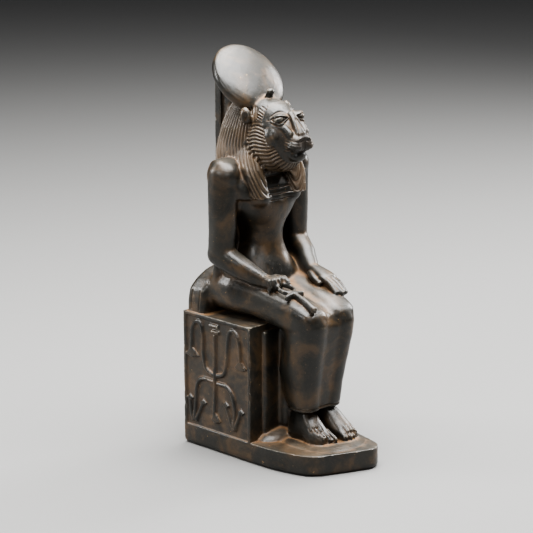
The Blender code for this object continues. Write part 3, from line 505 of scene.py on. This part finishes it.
BARS = ((0.455, 0.957, 0.07), (0.48, 0.905, 0.062), (0.127, 0.06, 0.032), (0.775, 0.075, 0.032))
BUDS = ((0.056, 0.262, 0.036), (0.275, 0.25, 0.038), (0.644, 0.288, 0.038), (0.885, 0.262, 0.038))
STEM_STEPS = 3               # between each two points of a winding stem
SHORT_STEPS = 2              # the same for a stem of three points
FLOWER_HEIGHT = 0.07
FLOWER_STEPS = 5
BUD_DROP = 0.028             # from a bud's top to its ends

# Across a stroke: how far each corner stands out of the field, and aside as a share of its half-width
STROKE_SECTION = ((-STROKE_ROOT, 1.0), (STROKE_PROUD * 0.55, 0.92), (STROKE_PROUD, 0.4),
                  (STROKE_PROUD, -0.4), (STROKE_PROUD * 0.55, -0.92), (-STROKE_ROOT, -1.0))


class Panel:
    """One flank of the throne: turns shares of the panel into places on its sunk field."""

    def __init__(self, flank):
        self.flank = flank
        self.front = THRONE_FRONT_Y + BORDER_WIDTH
        self.back = BACK_Y - BORDER_WIDTH
        self.bottom = BASE_THICKNESS
        self.top = SEAT_Z - BORDER_WIDTH
        self.face = THRONE_WIDTH / 2 - PANEL_DEPTH

    def place(self, along, up, proud):
        """A place that stands proud of the field, in metres."""
        return Vector((self.flank * (self.face + proud), self.back + (self.front - self.back) * along,
                       self.bottom + (self.top - self.bottom) * up))

    def stroke(self, points):
        """A rounded bar standing proud of the field along a run of (along, up) points."""
        run = [self.place(a, u, 0) for a, u in points]
        out = Vector((self.flank, 0, 0))
        rings = []
        for i, point in enumerate(run):
            along = (run[min(i + 1, len(run) - 1)] - run[max(i - 1, 0)]).normalized()
            side = along.cross(out) * (STROKE_WIDTH / 2)
            rings.append([point + out * proud + side * aside for proud, aside in STROKE_SECTION])
        return rings

    def cup(self, middle, rim, half):
        """A flower: a plate with a bowed rim, narrowing to its stem."""
        shares = [i / FLOWER_STEPS for i in range(FLOWER_STEPS + 1)]
        outline = [(middle + half * (2 * t - 1), rim - FLOWER_HEIGHT * 0.3 * math.sin(math.pi * t))
                   for t in shares]
        outline += [(middle + half * 0.35, rim + FLOWER_HEIGHT * 0.75), (middle, rim + FLOWER_HEIGHT),
                    (middle - half * 0.35, rim + FLOWER_HEIGHT * 0.75)]
        return [[self.place(a, u, proud) for a, u in outline]
                for proud in (-STROKE_ROOT, STROKE_PROUD * 0.9)]

    def reliefs(self):
        """The stems, flowers, bands and buds, as forms."""
        forms = []
        for points in STEMS:
            steps = STEM_STEPS if len(points) > 3 else SHORT_STEPS
            run = spline([Vector((a, u, 0)) for a, u in points], steps)
            forms.append(self.stroke([(p.x, p.y) for p in run]))
        forms += [self.cup(*flower) for flower in FLOWERS]
        forms += [self.stroke([(middle - half, up), (middle + half, up)]) for middle, up, half in BARS]
        forms += [self.stroke([(middle - half, up - BUD_DROP), (middle, up),
                               (middle + half, up - BUD_DROP)]) for middle, up, half in BUDS]
        return forms


def evaluated(made):
    """The mesh of an object with its modifiers, and the object gone."""
    mesh = bpy.data.meshes.new_from_object(made.evaluated_get(bpy.context.evaluated_depsgraph_get()))
    bpy.data.objects.remove(made)
    return mesh


def modelled(clay, grain, rounds):
    """The shells fused into one skin and softened, as a mesh of its own."""
    lump = cast("clay", clay)
    fuse = lump.modifiers.new("Fuse", "REMESH")
    fuse.mode = "VOXEL"
    fuse.voxel_size = grain * PART
    soften = lump.modifiers.new("Soften", "SMOOTH")
    soften.factor = 0.5
    soften.iterations = rounds
    return evaluated(lump)


def boxed(low, high):
    """A block between two corners, as a form of two rings, in metres."""
    corners = [(low[0], low[1]), (high[0], low[1]), (high[0], high[1]), (low[0], high[1])]
    return [[Vector((x, y, z)) for x, y in corners] for z in (low[2], high[2])]


def base_block():
    """The base with its rounded foot, as a mesh."""
    base = cast("base", shells([[[Vector((x, y, z)) for x, y in base_outline()]
                                 for z in (0.0, BASE_THICKNESS)]]))
    foot = base.modifiers.new("Round", "BEVEL")
    foot.width = BASE_FOOT_ROUND
    foot.segments = BASE_FOOT_SEGMENTS
    foot.limit_method = "WEIGHT"
    weights = base.data.attributes.new("bevel_weight_edge", "FLOAT", "EDGE")
    for edge in base.data.edges:
        on_underside = all(base.data.vertices[v].co.z == 0 for v in edge.vertices)
        weights.data[edge.index].value = 1.0 if on_underside else 0.0
    return evaluated(base)


def throne_forms():
    """The throne with a sunk field on each flank inside a raised border, and the back pillar."""
    half = THRONE_WIDTH / 2
    low = BASE_THICKNESS / 2
    field = half - PANEL_DEPTH
    return [boxed((-field, THRONE_FRONT_Y, low), (field, BACK_Y, SEAT_Z)),
            boxed((-half, THRONE_FRONT_Y, low), (half, THRONE_FRONT_Y + BORDER_WIDTH, SEAT_Z)),
            boxed((-half, BACK_Y - BORDER_WIDTH, low), (half, BACK_Y, SEAT_Z)),
            boxed((-half, THRONE_FRONT_Y, SEAT_Z - BORDER_WIDTH), (half, BACK_Y, SEAT_Z)),
            boxed((-PILLAR_WIDTH / 2, BACK_Y - PILLAR_DEPTH, SEAT_Z / 2),
                  (PILLAR_WIDTH / 2, BACK_Y, at(0, 0, PILLAR_TOP).z))]


def block_clay():
    """Base, throne, pillar and both carved flanks in one loose mesh."""
    clay = shells(throne_forms() + Panel(-1).reliefs() + Panel(1).reliefs())
    clay.from_mesh(base_block())
    return clay


def skin_of(mesh):
    """The points, normals and edges of a mesh."""
    points = np.empty(len(mesh.vertices) * 3)
    normals = np.empty(len(mesh.vertices) * 3)
    edges = np.empty(len(mesh.edges) * 2, np.int32)
    mesh.vertices.foreach_get("co", points)
    mesh.vertex_normals.foreach_get("vector", normals)
    mesh.edges.foreach_get("vertices", edges)
    return points.reshape(-1, 3), normals.reshape(-1, 3), edges.reshape(-1, 2)


def blurred(values, edges, rounds):
    """Values of each point, shared out among its neighbours again and again."""
    values = values.reshape(len(values), -1).copy()
    a, b = edges.T
    count = np.bincount(edges.ravel(), minlength=len(values))
    for _ in range(rounds):
        for column in values.T:
            total = np.bincount(a, column[b], len(column)) + np.bincount(b, column[a], len(column))
            column += 0.5 * (total / count - column)
    return values


def bulge(points, normals, edges, rounds):
    """How far each point stands out of its smoothed surroundings, in parts: below 0 in a hollow."""
    return ((points - blurred(points, edges, rounds)) * normals).sum(axis=1) / PART


# Each field of unevenness: how many waves it is made of, and their sum that counts as 1
WAVE_WAYS = 9
WAVE_SPREAD = 4.0


def waves(p, length, seed):
    """A smooth field of hills and dips between about -1 and 1, this many parts from one to the next."""
    draw = np.random.default_rng(seed)
    total = np.zeros(len(p))
    for _ in range(WAVE_WAYS):
        way = draw.normal(size=3)
        way *= 2 * math.pi / length * draw.uniform(0.7, 1.5) / np.linalg.norm(way)
        total += np.sin(p @ way + draw.uniform(0, 2 * math.pi))
    return total / WAVE_SPREAD


# The hair: how many strands and locks go all round, how deep they are cut, the (z, y) places that the
# strands fan out from, and the (z, y) line where the ruff ends and the face begins
WIG_STRANDS = 52
STRAND_DEPTH = 1.2
STRAND_CENTRES = ((193, 18), (200, 22), (207, 26), (214, 30), (222, 34), (229, 36))
RUFF_LOCKS = 48
LOCK_DEPTH = 1.3
RUFF_INSIDE = ((212, -4), (218, -1.5), (222.7, 1.7), (228.5, 4.2), (234, 7.8), (239, 11.4), (249.5, 17))
FACE_MIDDLE = 237            # the height that the locks fan out from


def strand_share(p):
    """How fully each point lies on the wig or its lappets: 1 on them."""
    x, y, z = p.T
    side = np.abs(x)
    off_pillar = 1 - eased(y, 60, 64) * (1 - eased(side, 10, 13))
    behind_ruff = eased(y + 0.4 * (z - 236), 27.4, 29) * (1 - eased(z, 256, 260))
    on_wig = skin_band(round_level(p, WIG)) * eased(z, 207, 210) * behind_ruff * off_pillar
    on_lappet = skin_band(round_level(p, LAPPET)) * eased(z, 192.4, 193.6) * (1 - eased(z, 229, 232))
    return np.maximum(on_wig, on_lappet) * (1 - eased(side, 26.6, 28.4))


def lock_share(p):
    """How fully each point lies on the ruff round the face: 1 on it."""
    y, z = p.T[1:]
    ring = round_upright(p, RUFF)
    inside = np.interp(z, *np.transpose(RUFF_INSIDE))
    return (eased(ring, 0.9, 0.96) * (1 - eased(ring, 1.08, 1.14)) * eased(z, 207, 209)
            * eased(y - inside, 0, 1.2) * (1 - eased(y, 27.2, 28.6)) * (1 - eased(z, 246, 248.5)))


def hair_cut(p):
    """Grooves of the wig, its lappets and the ruff, a small tuft above the ruff, and each ear's hollow."""
    x, y, z = p.T
    side = np.abs(x)
    centre = np.interp(z, *np.transpose(STRAND_CENTRES))
    drift = 0.05 * np.sin(z * 0.35 + side * 0.2)
    strands = furrow(np.arctan2(x, y - centre) / (2 * math.pi) * WIG_STRANDS + drift)
    spread = np.arctan2(x, FACE_MIDDLE - z)
    outwards = np.clip((y - 6) / 20, 0, 1)
    sweep = 0.4 * np.sin(2.2 * math.pi * outwards) * np.sign(x)
    locks = furrow(spread / (2 * math.pi) * RUFF_LOCKS + sweep) ** 1.2
    cut = STRAND_DEPTH * strands * strand_share(p) + LOCK_DEPTH * locks * lock_share(p)
    tuft = (eased(z, 248, 249) * (1 - eased(z, 258, 259)) * eased(y, 16.4, 17)
            * (1 - eased(y, 21.4, 22.2)))
    cut += 0.6 * tuft * furrow((z - 0.35 * y) / 1.9)
    lobe = np.hypot((y - 26.4) / 1.7, (z - 250.2) / 3.3)
    return cut + 2.8 * np.exp(-lobe ** 2) * eased(side, 19.6, 21)


def face_cut(p):
    """Mouth, nose, whisker and eye lines of the lioness."""
    x, y, z = p.T
    side = np.abs(x)
    line = z - 227.6 - 0.12 * side
    mouth = np.exp(-(line / 0.6) ** 2) * (1 - eased(y, 0, 2)) * (1 - eased(side, 9.5, 11.5))
    philtrum = (np.exp(-(x / 0.5) ** 2) * (1 - eased(y, -9, -7)) * eased(z, 227, 228)
                * (1 - eased(z, 235, 236)))
    nostril = (np.hypot((side - 2.7) / 1.3, (z - 236 + 0.5 * (side - 2.7)) / 0.8)
               * np.where(y < -7, 1, 99))
    flank = 0.4 + 0.3 * np.clip(251.5 - z, 0, None)
    valley = np.exp(-((side - flank) / 0.75) ** 2) * eased(z, 238, 240) * (1 - eased(z, 250, 252))
    rows = furrow((z - 0.18 * (y + 12) - 0.05 * side) / 2.1)
    pads = (eased(side, 3.6, 5) * eased(z, 229, 230) * (1 - eased(z, 236.4, 237.4))
            * (1 - eased(y, -2.5, 0.5)))
    return (mouth + 0.6 * philtrum + 0.9 * np.exp(-nostril ** 2) + 0.75 * valley * (1 - eased(y, 4, 8))
            + 0.32 * rows ** 1.5 * pads + eye_cut(p))


# Her left eye, which the right one mirrors: its middle, then its half-length and half-height
EYE = (10.4, 4.9, 250.8)
EYE_HALF = (6.4, 3.0)


def eye_cut(p):
    """The almond eyes: a round ball inside two raised lids, with the line drawn out behind each."""
    x, y, z = p.T
    side = np.abs(x)
    u = 0.72 * (side - EYE[0]) + 0.69 * (y - EYE[1])
    w = z - EYE[2] + 0.12 * u
    almond = (u / EYE_HALF[0]) ** 2 + np.abs(w) / EYE_HALF[1]
    near = (1 - eased(y, 11, 14)) * eased(z, 243, 245)
    cut = 0.9 * np.exp(-((almond - 0.72) / 0.13) ** 2)
    cut += 0.6 * np.exp(-((almond - 1.55) / 0.22) ** 2) * (1 - eased(u, 5, 7))
    cut -= 0.3 * np.clip(1 - almond / 0.66, 0, None) ** 0.6
    cut -= 0.35 * np.exp(-((almond - 1.08) / 0.2) ** 2)
    tail = np.exp(-((w + 0.05 * u) / 0.45) ** 2) * eased(u, 5.4, 6.4) * (1 - eased(u, 10, 12))
    return (cut + 0.5 * tail) * near


def toe_cut(p):
    """The nail of each toe, and the cleft between each two."""
    x, y, z = p.T
    cut = np.zeros(len(p))
    for toes in (RIGHT_TOES, LEFT_TOES):
        for along, tip, wide, _ in toes:
            nail = np.hypot((x - along) / (0.62 * wide), (y - tip - 1.6) / 1.7)
            cut += 0.45 * np.exp(-((nail - 1) / 0.28) ** 2) * eased(z, SOLE + 2.6, SOLE + 3.6)
        for (x0, tip0, *_), (x1, tip1, *_) in zip(toes, toes[1:]):
            middle, tip = (x0 + x1) / 2, (tip0 + tip1) / 2
            cleft = (np.exp(-((x - middle) / 0.45) ** 2) * (1 - eased(y, tip + 5, tip + 10))
                     * eased(y, tip - 1, tip + 0.5))
            cut += 0.9 * cleft * eased(z, SOLE + 2.4, SOLE + 3.4)
    return cut * (1 - eased(z, 28, 30))


# Heights of the lines of the collar and the hem, and how far back the backrest's lines stand
COLLAR_LINES = (189.2, 193.4, 197.6)
HEM_LINE = 41.8
BACKREST_LINES = (57.6, 65.8)


def dress_cut(p):
    """The three lines of the collar between the lappets, and the line above the dress's hem."""
    x, y, z = p.T
    side = np.abs(x)
    collar = sum(np.exp(-((z - 0.05 * side - line) / 0.42) ** 2) for line in COLLAR_LINES)
    between = (1 - eased(side, 11.5, 13)) * (1 - eased(y, 19, 22)) * eased(y, 12, 13)
    hem = (np.exp(-((z - HEM_LINE) / 0.5) ** 2) * (1 - eased(side, 24, 26))
           * (1 - eased(y, -8, -5)))
    return 0.9 * collar * between + 0.5 * hem


def back_cut(p):
    """The two lines down each side of the low backrest."""
    x, y, z = p.T
    side = np.abs(x)
    half = (THRONE_WIDTH / 2 - BACKREST_SETBACK) / PART
    on_flank = eased(side, half - 2.5, half - 1.5) * eased(z, 104, 105) * (1 - eased(z, 128, 132))
    return 0.5 * on_flank * sum(np.exp(-((y - line) / 0.5) ** 2) for line in BACKREST_LINES)


def wear(p, edge):
    """Unevenness left by the hand, and knocks along the edges."""
    knocks = np.clip(waves(p, 9, 5) + 0.6 * waves(p, 3.4, 6) - 0.35, 0, None)
    rough_base = 1 - eased(p[:, 2], 13.5, 15)
    cut = 0.1 * waves(p, 16, 7) + 0.025 * waves(p, 5, 8)
    cut += edge * knocks * (0.7 + 0.7 * rough_base)
    return cut + 0.04 * rough_base * waves(p, 3.1, 9)


def roughed_out():
    """The whole stone in one soft skin, before its lines are cut."""
    body = modelled(shells(body_forms() + [backrest()]), BODY_GRAIN, BODY_ROUNDS)
    clay = shells(wig_forms() + head_forms() + crown_forms() + hand_forms() + ankh_forms() + foot_forms())
    clay.from_mesh(body)
    figure = modelled(clay, DETAIL_GRAIN, DETAIL_ROUNDS)
    clay = block_clay()
    clay.from_mesh(figure)
    return modelled(clay, DETAIL_GRAIN, BLOCK_ROUNDS)


def carve(mesh):
    """Cuts the fine lines and the wear into the skin."""
    points, normals, edges = skin_of(mesh)
    p = parts_of(points)
    edge = np.clip(bulge(points, normals, edges, KNOCK_ROUNDS) / 0.25 - 0.35, 0, 1)
    cut = hair_cut(p) + face_cut(p) + dress_cut(p) + toe_cut(p) + back_cut(p) + wear(p, edge)
    points = points - normals * (cut * PART)[:, None]
    mesh.vertices.foreach_set("co", points.ravel())


def thinned(mesh):
    """The skin in triangles, at most MOST_TRIANGLES of them."""
    made = placed("skin", mesh)
    made.modifiers.new("Triangulate", "TRIANGULATE")
    thin = made.modifiers.new("Thin", "DECIMATE")
    thin.ratio = min(1.0, MOST_TRIANGLES / (2 * len(mesh.polygons)))
    return evaluated(made)


def muzzle_shade(p):
    """How much darker the nose and the whisker pads are coloured: 1 at the nose, 0 off the muzzle."""
    x, y, z = p.T
    away = np.sqrt((x / 9) ** 2 + ((y + 10) / 7) ** 2 + ((z - 234) / 7.5) ** 2)
    return 1 - eased(away, 0.7, 1.25)


def note_down(mesh):
    """Notes on each point what its finish depends on, from 0 to 1, and keeps it in the solid's box."""
    points, normals, edges = skin_of(mesh)
    p = parts_of(points)
    notes = {"groove": -bulge(points, normals, edges, GROOVE_ROUNDS) / 0.12,
             "edge": (bulge(points, normals, edges, EDGE_ROUNDS) - 0.2) / 0.3,
             "hollow": -bulge(points, normals, edges, HOLLOW_ROUNDS) / 1.2,
             "up": normals[:, 2],
             "muzzle": muzzle_shade(p),
             "hair": np.maximum(strand_share(p), lock_share(p))}
    for note, values in notes.items():
        layer = mesh.attributes.new(note, "FLOAT", "POINT")
        layer.data.foreach_set("value", np.clip(values, 0, 1).astype(np.float32))
    mesh.vertices.foreach_set("co", np.clip(points, *np.array(SOLID_BOX)).ravel())


def statue(name, material):
    """The stone carved and worn, with one smooth finish over it."""
    mesh = roughed_out()
    carve(mesh)
    mesh = thinned(mesh)
    note_down(mesh)
    # Without this mark all faces are shaded smooth
    if "sharp_face" in mesh.attributes:
        mesh.attributes.remove(mesh.attributes["sharp_face"])
    mesh.materials.clear()
    mesh.materials.append(material)
    return placed(name, mesh)


class Flow:
    """A socket whose value the arithmetic signs carry into Math nodes."""

    def __init__(self, sheet, socket):
        self.sheet, self.socket = sheet, socket

    def maths(self, operation, *values, clamp=False):
        """What one Math node makes of the values."""
        return self.sheet.node("ShaderNodeMath", {"operation": operation, "use_clamp": clamp},
                               dict(enumerate(values)))

    def __add__(self, other):
        return self.maths("ADD", self, other)

    __radd__ = __add__

    def __sub__(self, other):
        return self.maths("SUBTRACT", self, other)

    def __rsub__(self, other):
        return self.maths("SUBTRACT", other, self)

    def __mul__(self, other):
        return self.maths("MULTIPLY", self, other)

    __rmul__ = __mul__

    def clamped(self):
        """Kept between 0 and 1."""
        return self.maths("ADD", self, 0.0, clamp=True)

    def between(self, low, high):
        """0 below low and 1 above high, with a smooth rise between."""
        return self.sheet.node("ShaderNodeMapRange", {"interpolation_type": "SMOOTHSTEP"},
                               {"Value": self, "From Min": low, "From Max": high})


class Sheet:
    """The node sheet of one material."""

    def __init__(self, name):
        self.material = bpy.data.materials.new(name)
        self.material.use_nodes = True
        self.tree = self.material.node_tree
        self.surface = self.tree.nodes["Principled BSDF"]
        self.place = self.node("ShaderNodeTexCoord", {}, {}, "Object")

    def node(self, kind, settings, inputs, output=0):
        """One output of a new node, made with its settings and its sockets' values or links."""
        made = self.tree.nodes.new(kind)
        for key, value in settings.items():
            setattr(made, key, value)
        for key, value in inputs.items():
            if isinstance(value, Flow):
                self.tree.links.new(value.socket, made.inputs[key])
            else:
                made.inputs[key].default_value = value
        return Flow(self, made.outputs[output])

    def moved(self, offset):
        """Places on the surface, moved to set one pattern apart from another."""
        return self.node("ShaderNodeVectorMath", {"operation": "ADD"}, {0: self.place, 1: offset})

    def noise(self, scale, detail, roughness, distortion=0.0, offset=(0, 0, 0)):
        """Clouds from 0 to 1."""
        return self.node("ShaderNodeTexNoise", {},
                         {"Vector": self.moved(offset), "Scale": scale, "Detail": detail,
                          "Roughness": roughness, "Distortion": distortion})

    def spots(self, scale, offset=(0, 0, 0)):
        """How far each place is from the middle of the nearest spot."""
        return self.node("ShaderNodeTexVoronoi", {}, {"Vector": self.moved(offset), "Scale": scale},
                         "Distance")

    def note(self, name):
        """What is noted on the stone's points under this name."""
        return self.node("ShaderNodeAttribute", {"attribute_name": name}, {}, "Fac")

    def blend(self, share, below, above):
        """A colour between two colours."""
        return self.node("ShaderNodeMix", {"data_type": "RGBA"}, {"Factor": share, 6: below, 7: above}, 2)

    def feed(self, **links):
        """Links flows to the sockets of the surface, named with _ for a space."""
        for key, value in links.items():
            self.tree.links.new(value.socket, self.surface.inputs[key.replace("_", " ")])


# Colours of the stone and of what lies on it
DARK_STONE = (0.015, 0.0145, 0.012, 1)
GREY_STONE = (0.028, 0.026, 0.021, 1)
BROWN_STONE = (0.092, 0.056, 0.027, 1)
PALE_FLECK = (0.1, 0.085, 0.065, 1)
FINE_GRAIN = (0.06, 0.053, 0.042, 1)
RUSTY_SPECK = (0.3, 0.19, 0.08, 1)
# Tan of the hair's ridges: dust, and a painted highlight where the ridges catch the light
HAIR_RIDGE_TAN_AND_HIGHLIGHT = (0.15, 0.105, 0.066, 1)
# The nose and whisker pads are coloured darker than the rest of the face
DARKER_MUZZLE = (0.02, 0.015, 0.011, 1)
DEEP_RUST = (0.2, 0.1, 0.042, 1)
PALE_RUST = (0.27, 0.17, 0.09, 1)
# Dust on the tops, painted lighter there as the light from above would make them
GREY_TOP_DUST_AND_LIGHT = (0.135, 0.115, 0.09, 1)
BROWN_TOP_DUST_AND_LIGHT = (0.27, 0.155, 0.075, 1)
RUBBED_EDGE = (0.28, 0.25, 0.2, 1)
POLISH_IOR = 1.6


def basalt():
    """Dark polished basalt: mottled ground, fine grain, worn edges, rusty dust where it settles, and
    painted light on the tops and on the hair's ridges.
    """
    sheet = Sheet("weathered_basalt")
    groove, edge, hollow, up, muzzle, hair = (
        sheet.note(n) for n in ("groove", "edge", "hollow", "up", "muzzle", "hair"))
    mottle = sheet.noise(38, 5, 0.6, 0.4).between(0.34, 0.7)
    brown = sheet.noise(44, 6, 0.66, 0.5, (3, 1, 7)).between(0.45, 0.66)
    grain = sheet.noise(1500, 2, 0.6)
    fleck = 1 - sheet.spots(520).between(0.05, 0.2)
    speck = sheet.noise(430, 2, 0.6, 0.3, (4, 2, 6)).between(0.7, 0.76)
    ridge = hair * (1 - groove).clamped()
    ground = sheet.blend(mottle, DARK_STONE, GREY_STONE)
    ground = sheet.blend(brown * 0.75, ground, BROWN_STONE)
    ground = sheet.blend(fleck * 0.3, ground, PALE_FLECK)
    ground = sheet.blend(grain.between(0.5, 0.75) * 0.25, ground, FINE_GRAIN)
    ground = sheet.blend(speck * 0.8, ground, RUSTY_SPECK)
    # Painted highlight and tan dust on the hair's ridges, between dark grooves
    ground = sheet.blend(ridge * 0.55, ground, HAIR_RIDGE_TAN_AND_HIGHLIGHT)

    patch = sheet.noise(110, 4, 0.65, 0.2, (9, 4, 2)).between(0.4, 0.62)
    dust = (groove * (1 - hair * 0.85) * 0.85 + hollow * 0.45).clamped()
    dust = dust * (0.3 + up * 0.7) * (0.4 + patch * 0.6)
    # Lighter colour on up-facing surfaces, more in their hollows: real dust, and painted light on the tops
    drift = sheet.noise(70, 5, 0.7, 0.0, (5, 5, 1)).between(0.36, 0.62)
    top_dust_and_light = (up.between(0.55, 0.97) * (0.45 + hollow * 1.2) * (0.4 + drift * 0.6)).clamped()
    rust = sheet.blend(sheet.noise(180, 3, 0.6, 0.0, (2, 8, 3)).between(0.35, 0.65), DEEP_RUST, PALE_RUST)
    top_dust_light_colour = sheet.blend((hollow * 2 - 0.55).clamped(), GREY_TOP_DUST_AND_LIGHT, BROWN_TOP_DUST_AND_LIGHT)
    worn = edge.between(0.05, 0.7) * sheet.noise(260, 4, 0.6, 0.0, (1, 2, 8)).between(0.4, 0.62)
    colour = sheet.blend(top_dust_and_light * 0.75, ground, top_dust_light_colour)
    colour = sheet.blend(dust * 0.8, colour, rust)
    colour = sheet.blend(worn * 0.6, colour, RUBBED_EDGE)
    colour = sheet.blend(muzzle * 0.6, colour, DARKER_MUZZLE)

    scuff = sheet.noise(420, 4, 0.7, 0.0, (7, 7, 7)).between(0.4, 0.7)
    rough = 0.31 + 0.1 * scuff + 0.05 * mottle + dust * 0.3 + top_dust_and_light * 0.16 + worn * 0.08 + muzzle * 0.12
    pits = 1 - sheet.spots(800, (3, 3, 5)).between(0.12, 0.3)
    pits = pits * sheet.noise(90, 3, 0.6, 0.0, (8, 2, 1)).between(0.45, 0.65)
    height = grain * 0.25 + sheet.noise(420, 4, 0.6) * 0.5 + dust * 0.3 - pits * 0.5
    bump = sheet.node("ShaderNodeBump", {}, {"Strength": 0.5, "Distance": 0.0003, "Height": height},
                      "Normal")
    sheet.surface.inputs["IOR"].default_value = POLISH_IOR
    sheet.feed(Base_Color=colour, Roughness=rough, Normal=bump)
    return sheet.material


# The photograph's camera: degrees, metres and pixels
VIEW_AZIMUTH = -45.0
VIEW_ELEVATION = 14.0
VIEW_DISTANCE = 1.6
VIEW_AIM = (0, THRONE_FRONT_Y - 0.002, 0.15)
FRAME_PIXELS = 533
FOCAL_PIXELS = 2197.3
FRAME_SHIFT = (-27.57, -11.59)
SENSOR_WIDTH = 36.0          # in millimetres

# The floor, with its lengths in metres
FLOOR_COLOUR = (0.21, 0.208, 0.203, 1)
FLOOR_ROUGHNESS = 0.8
FLOOR_NEAR = -4.0
FLOOR_FAR = 1.2              # where it starts to curve up
FLOOR_BEND = 0.9             # radius of the curve
FLOOR_TOP = 3.2
FLOOR_HALF = 5.0
FLOOR_STEPS = 12


def floor_paint():
    """Plain pale matt paint."""
    sheet = Sheet("pale_floor")
    sheet.surface.inputs["Base Color"].default_value = FLOOR_COLOUR
    sheet.surface.inputs["Roughness"].default_value = FLOOR_ROUGHNESS
    return sheet.material


def floor():
    """A wide pale floor that curves up far behind the statue, square to the camera."""
    ground = bmesh.new()
    bends = [math.pi / 2 * i / FLOOR_STEPS for i in range(1, FLOOR_STEPS + 1)]
    rows = [(FLOOR_NEAR, 0), (FLOOR_FAR, 0),
            *((FLOOR_FAR + FLOOR_BEND * math.sin(t), FLOOR_BEND - FLOOR_BEND * math.cos(t)) for t in bends),
            (FLOOR_FAR + FLOOR_BEND, FLOOR_TOP)]
    turn = Matrix.Rotation(math.radians(-VIEW_AZIMUTH), 3, "Z")
    lines = [[ground.verts.new(turn @ Vector((x, y, z))) for x in (-FLOOR_HALF, FLOOR_HALF)]
             for y, z in rows]
    for (a, b), (c, d) in zip(lines, lines[1:]):
        ground.faces.new((a, b, d, c))
    made = cast("floor", ground)
    made.data.materials.append(floor_paint())
    for face in made.data.polygons:
        face.use_smooth = True


# Each lamp: place, size across and up, and power in watts. Left and right are as one faces the statue.
LAMPS = {"overhead": ((0.1, -0.02, 1.2), (1.3, 1.3), 62),
         "left_fill": ((-1.35, -0.1, 0.8), (0.4, 0.4), 5),
         "left_strip": ((-0.85, 1.05, 0.65), (0.35, 0.7), 11),
         "right_strip": ((1.35, -0.1, 0.65), (0.35, 0.7), 15),
         "front_left": ((-0.8, -1.2, 0.9), (0.4, 0.4), 2.5)}
LAMP_AIM = (0, 0, 0.15)
ROOM_COLOUR = (0.9, 0.93, 1.0, 1)
ROOM_STRENGTH = 0.08


def lamp(name, place, size, power):
    """A soft rectangular lamp turned to the middle of the statue."""
    light = bpy.data.lights.new(name, "AREA")
    light.shape = "RECTANGLE"
    light.size, light.size_y = size
    light.energy = power
    made = bpy.data.objects.new(name, light)
    made.location = place
    made.rotation_euler = (Vector(LAMP_AIM) - Vector(place)).to_track_quat("-Z", "Y").to_euler()
    bpy.context.scene.collection.objects.link(made)


def studio():
    """A wide soft lamp overhead, a tall one on each side, two small ones to fill, and a dim pale room."""
    for name, (place, size, power) in LAMPS.items():
        lamp(name, place, size, power)
    world = bpy.data.worlds.new("room")
    bpy.context.scene.world = world
    world.use_nodes = True
    back = world.node_tree.nodes["Background"]
    back.inputs["Color"].default_value = ROOM_COLOUR
    back.inputs["Strength"].default_value = ROOM_STRENGTH
    bpy.context.scene.view_settings.look = "AgX - High Contrast"


def photo_camera():
    """The camera of the photograph, from the statue's right front and a little above."""
    azimuth, elevation = math.radians(VIEW_AZIMUTH), math.radians(VIEW_ELEVATION)
    ahead = Vector((-math.sin(azimuth) * math.cos(elevation), math.cos(azimuth) * math.cos(elevation),
                    -math.sin(elevation)))
    lens = bpy.data.cameras.new("photo_camera")
    lens.sensor_width = SENSOR_WIDTH
    lens.lens = FOCAL_PIXELS / FRAME_PIXELS * lens.sensor_width
    lens.shift_x = FRAME_SHIFT[0] / FRAME_PIXELS
    lens.shift_y = FRAME_SHIFT[1] / FRAME_PIXELS
    made = bpy.data.objects.new("photo_camera", lens)
    made.location = Vector(VIEW_AIM) - VIEW_DISTANCE * ahead
    made.rotation_euler = ahead.to_track_quat("-Z", "Y").to_euler()
    bpy.context.scene.collection.objects.link(made)
    bpy.context.scene.camera = made


stone = statue("carved_lioness_goddess", basalt())
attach(stone, "root")
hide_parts(SOLID)
floor()
studio()
photo_camera()
